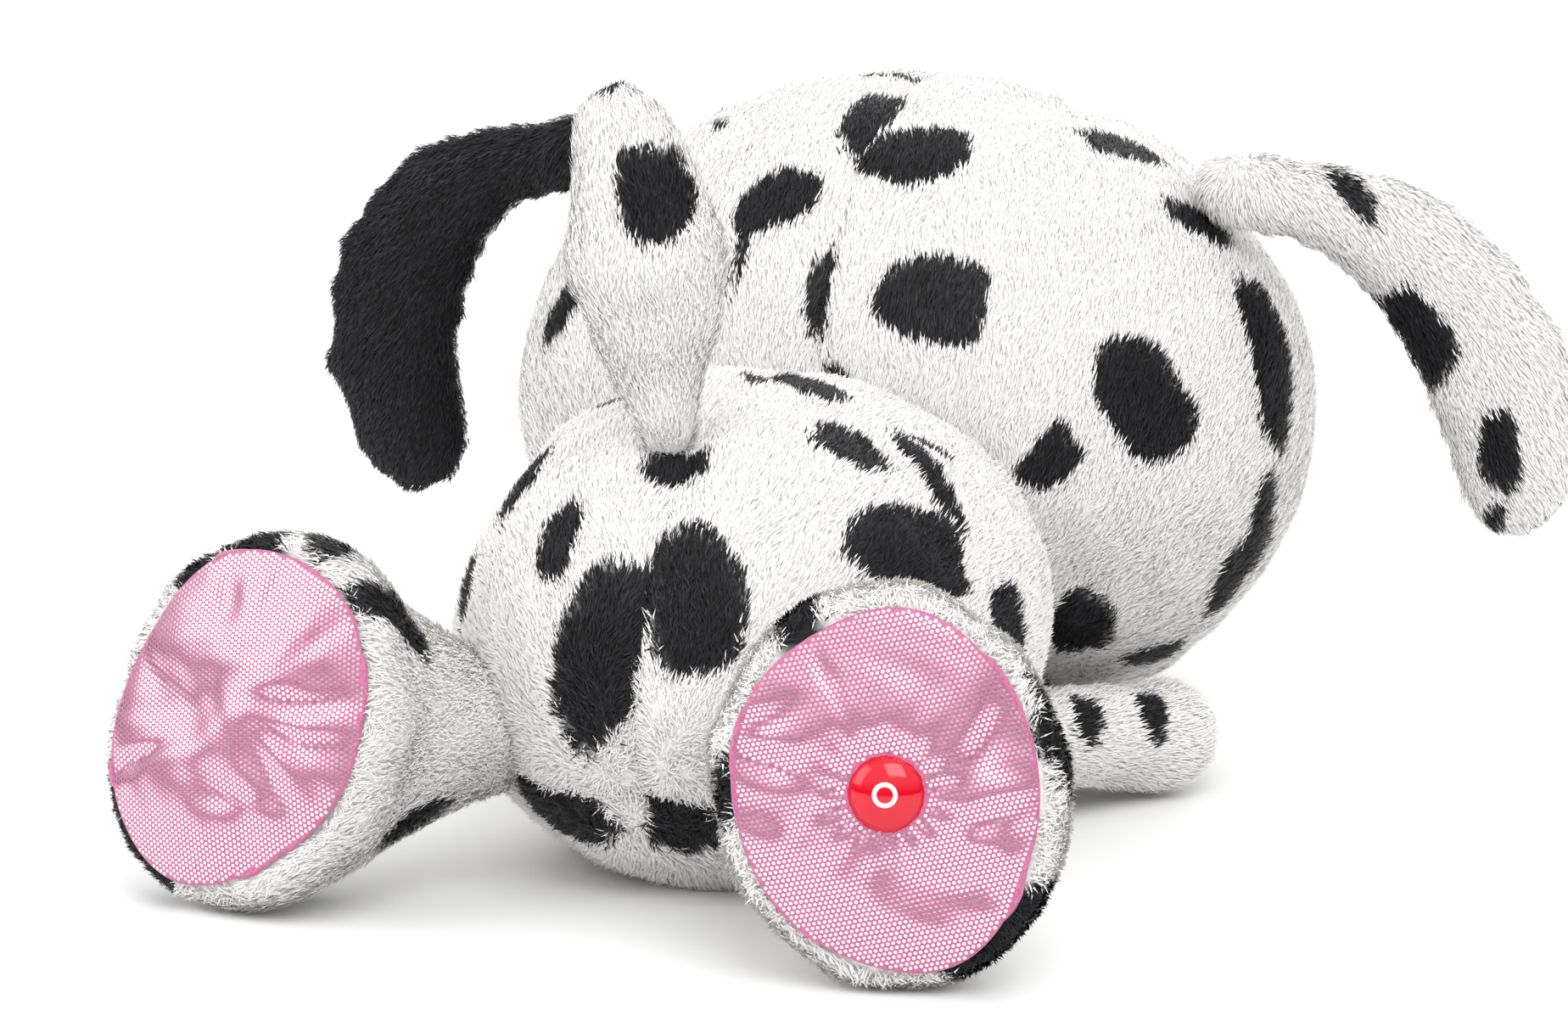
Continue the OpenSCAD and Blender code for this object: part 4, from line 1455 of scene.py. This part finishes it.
@dataclass
class Face:
    """A plain plush dog's face: muzzle, nose, mouth and two eyes."""

    finishes: Finishes
    muzzle: Ball = Ball((0, -141, 44), (30, 20, 21))
    eye_radius: float = 5.6
    thread: float = 0.55

    def build(self) -> None:
        """Make the face and let it ride on the head."""
        self.make_muzzle()
        self.make_nose()
        for side in Side:
            self.make_eye(side)
        self.make_mouth()

    def make_muzzle(self) -> None:
        """The muzzle's cover, drawn in below the nose, and its pile."""
        x, y, z = self.muzzle.at
        balls = [self.muzzle] + [Ball((s.value * 11, y - 3, z - 4), (18, 17.5, 15)) for s in Side]
        cover = form_of_balls("muzzle_skin", balls, 3)
        soften(cover, 4)
        refine(cover, 1)
        lip = Seam((0, 0, 0), (1, 0, 0), 1.4, 2.4, lambda co: (co[:, 2] < z + 2) & (co[:, 1] < y - 6))
        lip.draw_in(cover)
        keep_off_floor(cover)
        ink = Print(()).fit(cover)
        hidden = within(UNDER_HEAD_SKIN, Ball((0, -161, 54), (8.5, 6, 5.5)))
        for pile in Pile().grow("muzzle_skin_pile", cover, brush((0, 0.7, -0.3), (0, -165, 54)), ink,
                                self.finishes, 300, hidden):
            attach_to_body(pile, "head")
        ink.dye(cover)
        dress(cover, self.finishes.skin)
        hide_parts("muzzle_cover")
        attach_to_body(cover, "head")
        LOG.info("muzzle")

    def make_nose(self) -> None:
        """A soft triangle of moulded plastic with two shallow nostrils."""
        low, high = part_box("nose")
        nose = unit_sphere("nose_cap", 48, 32)
        co = points(nose)
        co[:, 0] *= 1 + 0.28 * co[:, 2]
        for side in Side:
            far = np.hypot(co[:, 0] - side.value * 0.42, co[:, 2] + 0.12)
            co[:, 1] += np.where(co[:, 1] < 0, 0.22 * np.exp(-((far / 0.16) ** 2)), 0)
        size = np.array([9.6, 6.2, 6.0]) * MM
        middle = np.array([(low.x + high.x) / 2, low.y + 6.4 * MM, 54.5 * MM])
        set_points(nose, co * size + middle)
        dress(nose, self.finishes.nose)
        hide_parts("nose")
        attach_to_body(nose, "head")
        LOG.info("nose")

    def make_eye(self, side: Side) -> None:
        """A glossy domed eye with a thin rim where it meets the plush."""
        low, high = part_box(f"eye_{side.word}")
        axis = Vector((side.value * 0.30, -0.94, 0.16)).normalized()
        seat = Vector(((low.x + high.x) / 2, low.y + 3.4 * MM, (low.z + high.z) / 2))
        eye = unit_sphere(f"eye_cap_{side.word}", 48, 24)
        co = points(eye)
        rim = np.exp(-(((np.abs(co[:, 2]) - 0.12) / 0.08) ** 2)) * 0.05
        co[:, :2] *= (1 + rim)[:, None]
        set_points(eye, co * np.array([self.eye_radius, self.eye_radius, 3.4]) * MM)
        turn = axis.to_track_quat("Z", "Y").to_matrix().to_4x4()
        eye.data.transform(Matrix.Translation(seat) @ turn)
        dress(eye, self.finishes.black)
        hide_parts(f"eye_{side.word}")
        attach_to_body(eye, "head")
        LOG.info("%s", eye.name)

    def make_mouth(self) -> None:
        """The mouth: a stitched line down from the nose that parts to both sides."""
        z = self.muzzle.at[2]
        stems = [[(0, z + 4), (0, z - 1), (0, z - 5)]]
        for side in Side:
            stems.append([(side.value * a, z - 5 - b) for a, b in ((0, 0), (4, 3), (9, 4), (14, 2.4))])
        verts, faces = [], []
        for stem in stems:
            thread_verts, thread_faces = self.thread_along(self.lay_on_muzzle(stem))
            faces.append(thread_faces + sum(len(rows) for rows in verts))
            verts.append(thread_verts)
        mouth = new_mesh("mouth_stitch", np.concatenate(verts) * MM, np.concatenate(faces))
        outward(mouth)
        dress(mouth, self.finishes.thread)
        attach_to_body(mouth, "head")
        LOG.info("mouth")

    def lay_on_muzzle(self, stem: Sequence[tuple[float, float]]) -> Array:
        """Lay a thread on the front of the muzzle.

        Args:
            stem: The places that it runs through, each across and up.

        Returns:
            Points along the thread, in millimetres.
        """
        skin = bpy.data.objects["muzzle_skin"]
        co = points(skin) / MM
        behind = np.where(normals(skin)[:, 1] < -0.2, 0, 1e3)
        line = []
        for along in np.linspace(0, len(stem) - 1, 24):
            x, z = (np.interp(along, range(len(stem)), [place[k] for place in stem]) for k in range(2))
            near = np.argsort(np.hypot(co[:, 0] - x, co[:, 2] - z) + behind)[:6]
            line.append((x, co[near, 1].mean() - 1.3, z))
        return np.array(line)

    def thread_along(self, line: Array) -> tuple[Array, Array]:
        """The vertices and faces of an eight-sided, unevenly thick thread along a line."""
        ring = np.arange(8)
        turns = ring * math.pi / 4
        verts, faces = [], []
        for k, point in enumerate(line):
            ahead = line[min(k + 1, len(line) - 1)] - line[max(k - 1, 0)]
            ahead /= np.linalg.norm(ahead)
            aside = np.cross(ahead, (0, 1, 0))
            aside /= np.linalg.norm(aside)
            up = np.cross(ahead, aside)
            thick = self.thread * (1 + 0.25 * math.sin(k * 2.1))
            verts.append(point + thick * (np.cos(turns)[:, None] * aside + np.sin(turns)[:, None] * up))
            if k:
                base = (k - 1) * 8
                faces.append(np.stack([base + ring, base + (ring + 1) % 8,
                                       base + 8 + (ring + 1) % 8, base + 8 + ring], 1))
        return np.concatenate(verts), np.concatenate(faces)


# ---------- inside ----------


@dataclass
class Inside:
    """What the toy holds: fibre stuffing, the bag of beads and the locking washers."""

    finishes: Finishes
    shrink: float = 0.5

    def build(self) -> None:
        """Make every filling, and dress the washers that the frame carries over."""
        for node, obj in sorted(frame["nodes"].items()):
            if node.endswith(("_stuffing", "_padding")):
                self.fill(node, obj["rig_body"], self.finishes.fibre, "stuffing", 0.5)
            elif node == "bead_bag":
                self.fill(node, obj["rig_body"], self.finishes.bag, "bead_bag", 0.8)
            elif "washer" in node:
                obj.data.materials.clear()
                obj.data.materials.append(self.finishes.washer)

    def fill(self, node: str, body: str, material: bpy.types.Material, slot: str, firm: float) -> None:
        """Make one lumpy filling inside the solid of its node."""
        name = f"{node}_fill"
        piece = form_of_node(name, node, -self.shrink, 3.2)
        lumps = Ripple(len(node), 9).at(points(piece)) * 0.35 - 0.35
        set_points(piece, points(piece) + normals(piece) * (lumps * MM)[:, None])
        dress(piece, material)
        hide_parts(node)
        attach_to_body(piece, body)
        LOG.info("%s", name)


# ---------- scene ----------


@dataclass
class Studio:
    """Pale floor, soft light and the camera."""

    aim: Triple = (-3.9, -4.4, 59.1)
    away: float = 1180
    azimuth: float = 200
    elevation: float = 12.5
    lens: float = 153.9

    def build(self) -> None:
        """Set up the floor, the lights and the camera."""
        bpy.context.scene.view_settings.view_transform = "Standard"
        self.floor()
        self.light("key", (-0.55, 0.75, 1.15), 0.9, 9)
        self.light("fill", (0.95, 0.65, 0.7), 0.9, 5)
        self.light("front", (0.1, -1.1, 0.9), 1.0, 6)
        self.world()
        self.camera()

    def floor(self) -> None:
        """A wide plain pale floor."""
        bpy.ops.mesh.primitive_plane_add(size=12)
        floor = bpy.context.object
        floor.name = "floor"
        material, shader = node_material("floor_pale", {
            "Base Color": (0.93, 0.93, 0.93, 1),
            "Roughness": 0.6,
        })
        floor.data.materials.append(material)

    def light(self, name: str, at: Triple, size: float, power: float) -> None:
        """A soft square light aimed at the toy."""
        lamp = bpy.data.lights.new(name, "AREA")
        lamp.size = size
        lamp.energy = power
        obj = bpy.data.objects.new(name, lamp)
        obj.location = at
        obj.rotation_euler = (Vector((0, 0, 0.05)) - Vector(at)).to_track_quat("-Z", "Y").to_euler()
        bpy.context.scene.collection.objects.link(obj)

    def world(self) -> None:
        """White all round for the eye, and a darker low band for reflections."""
        world = bpy.data.worlds.new("studio")
        world.use_nodes = True
        bpy.context.scene.world = world
        nodes, links = world.node_tree.nodes, world.node_tree.links
        back = nodes["Background"]
        place = nodes.new("ShaderNodeTexCoord")
        split = nodes.new("ShaderNodeSeparateXYZ")
        shades = nodes.new("ShaderNodeValToRGB")
        shades.color_ramp.elements[0].position = 0.05
        shades.color_ramp.elements[0].color = (0.05, 0.045, 0.05, 1)
        shades.color_ramp.elements[1].position = 0.42
        shades.color_ramp.elements[1].color = (1, 1, 1, 1)
        path = nodes.new("ShaderNodeLightPath")
        mix = nodes.new("ShaderNodeMix")
        mix.data_type = "RGBA"
        mix.inputs["A"].default_value = (1, 1, 1, 1)
        links.new(place.outputs["Generated"], split.inputs["Vector"])
        links.new(split.outputs["Z"], shades.inputs["Fac"])
        links.new(shades.outputs["Color"], mix.inputs["B"])
        links.new(path.outputs["Is Glossy Ray"], mix.inputs["Factor"])
        links.new(mix.outputs["Result"], back.inputs["Color"])
        back.inputs["Strength"].default_value = 1.0

    def camera(self) -> None:
        """The camera, behind the toy and to its right, a little above it."""
        turn, rise = math.radians(self.azimuth), math.radians(self.elevation)
        level = math.cos(rise)
        back = Vector((math.sin(turn) * level, -math.cos(turn) * level, math.sin(rise)))
        data = bpy.data.cameras.new("camera")
        data.lens = self.lens
        data.sensor_width = 36
        data.clip_start, data.clip_end = 0.05, 50
        camera = bpy.data.objects.new("camera", data)
        camera.location = (Vector(self.aim) + back * self.away) * MM
        camera.rotation_euler = back.to_track_quat("Z", "Y").to_euler()
        bpy.context.scene.collection.objects.link(camera)
        bpy.context.scene.camera = camera


def main() -> None:
    """Build every piece of the dog in order."""
    logging.basicConfig(level=logging.INFO, format="%(message)s")
    finishes = Finishes()
    Studio().build()
    Torso(finishes).build()
    Head(finishes).build()
    for limb in (*legs(finishes), *ears(finishes), tail(finishes)):
        limb.build()
    for side in Side:
        Sole(finishes, side).build()
    Button(finishes).build()
    Face(finishes).build()
    Inside(finishes).build()


if __name__ == "__main__":
    main()
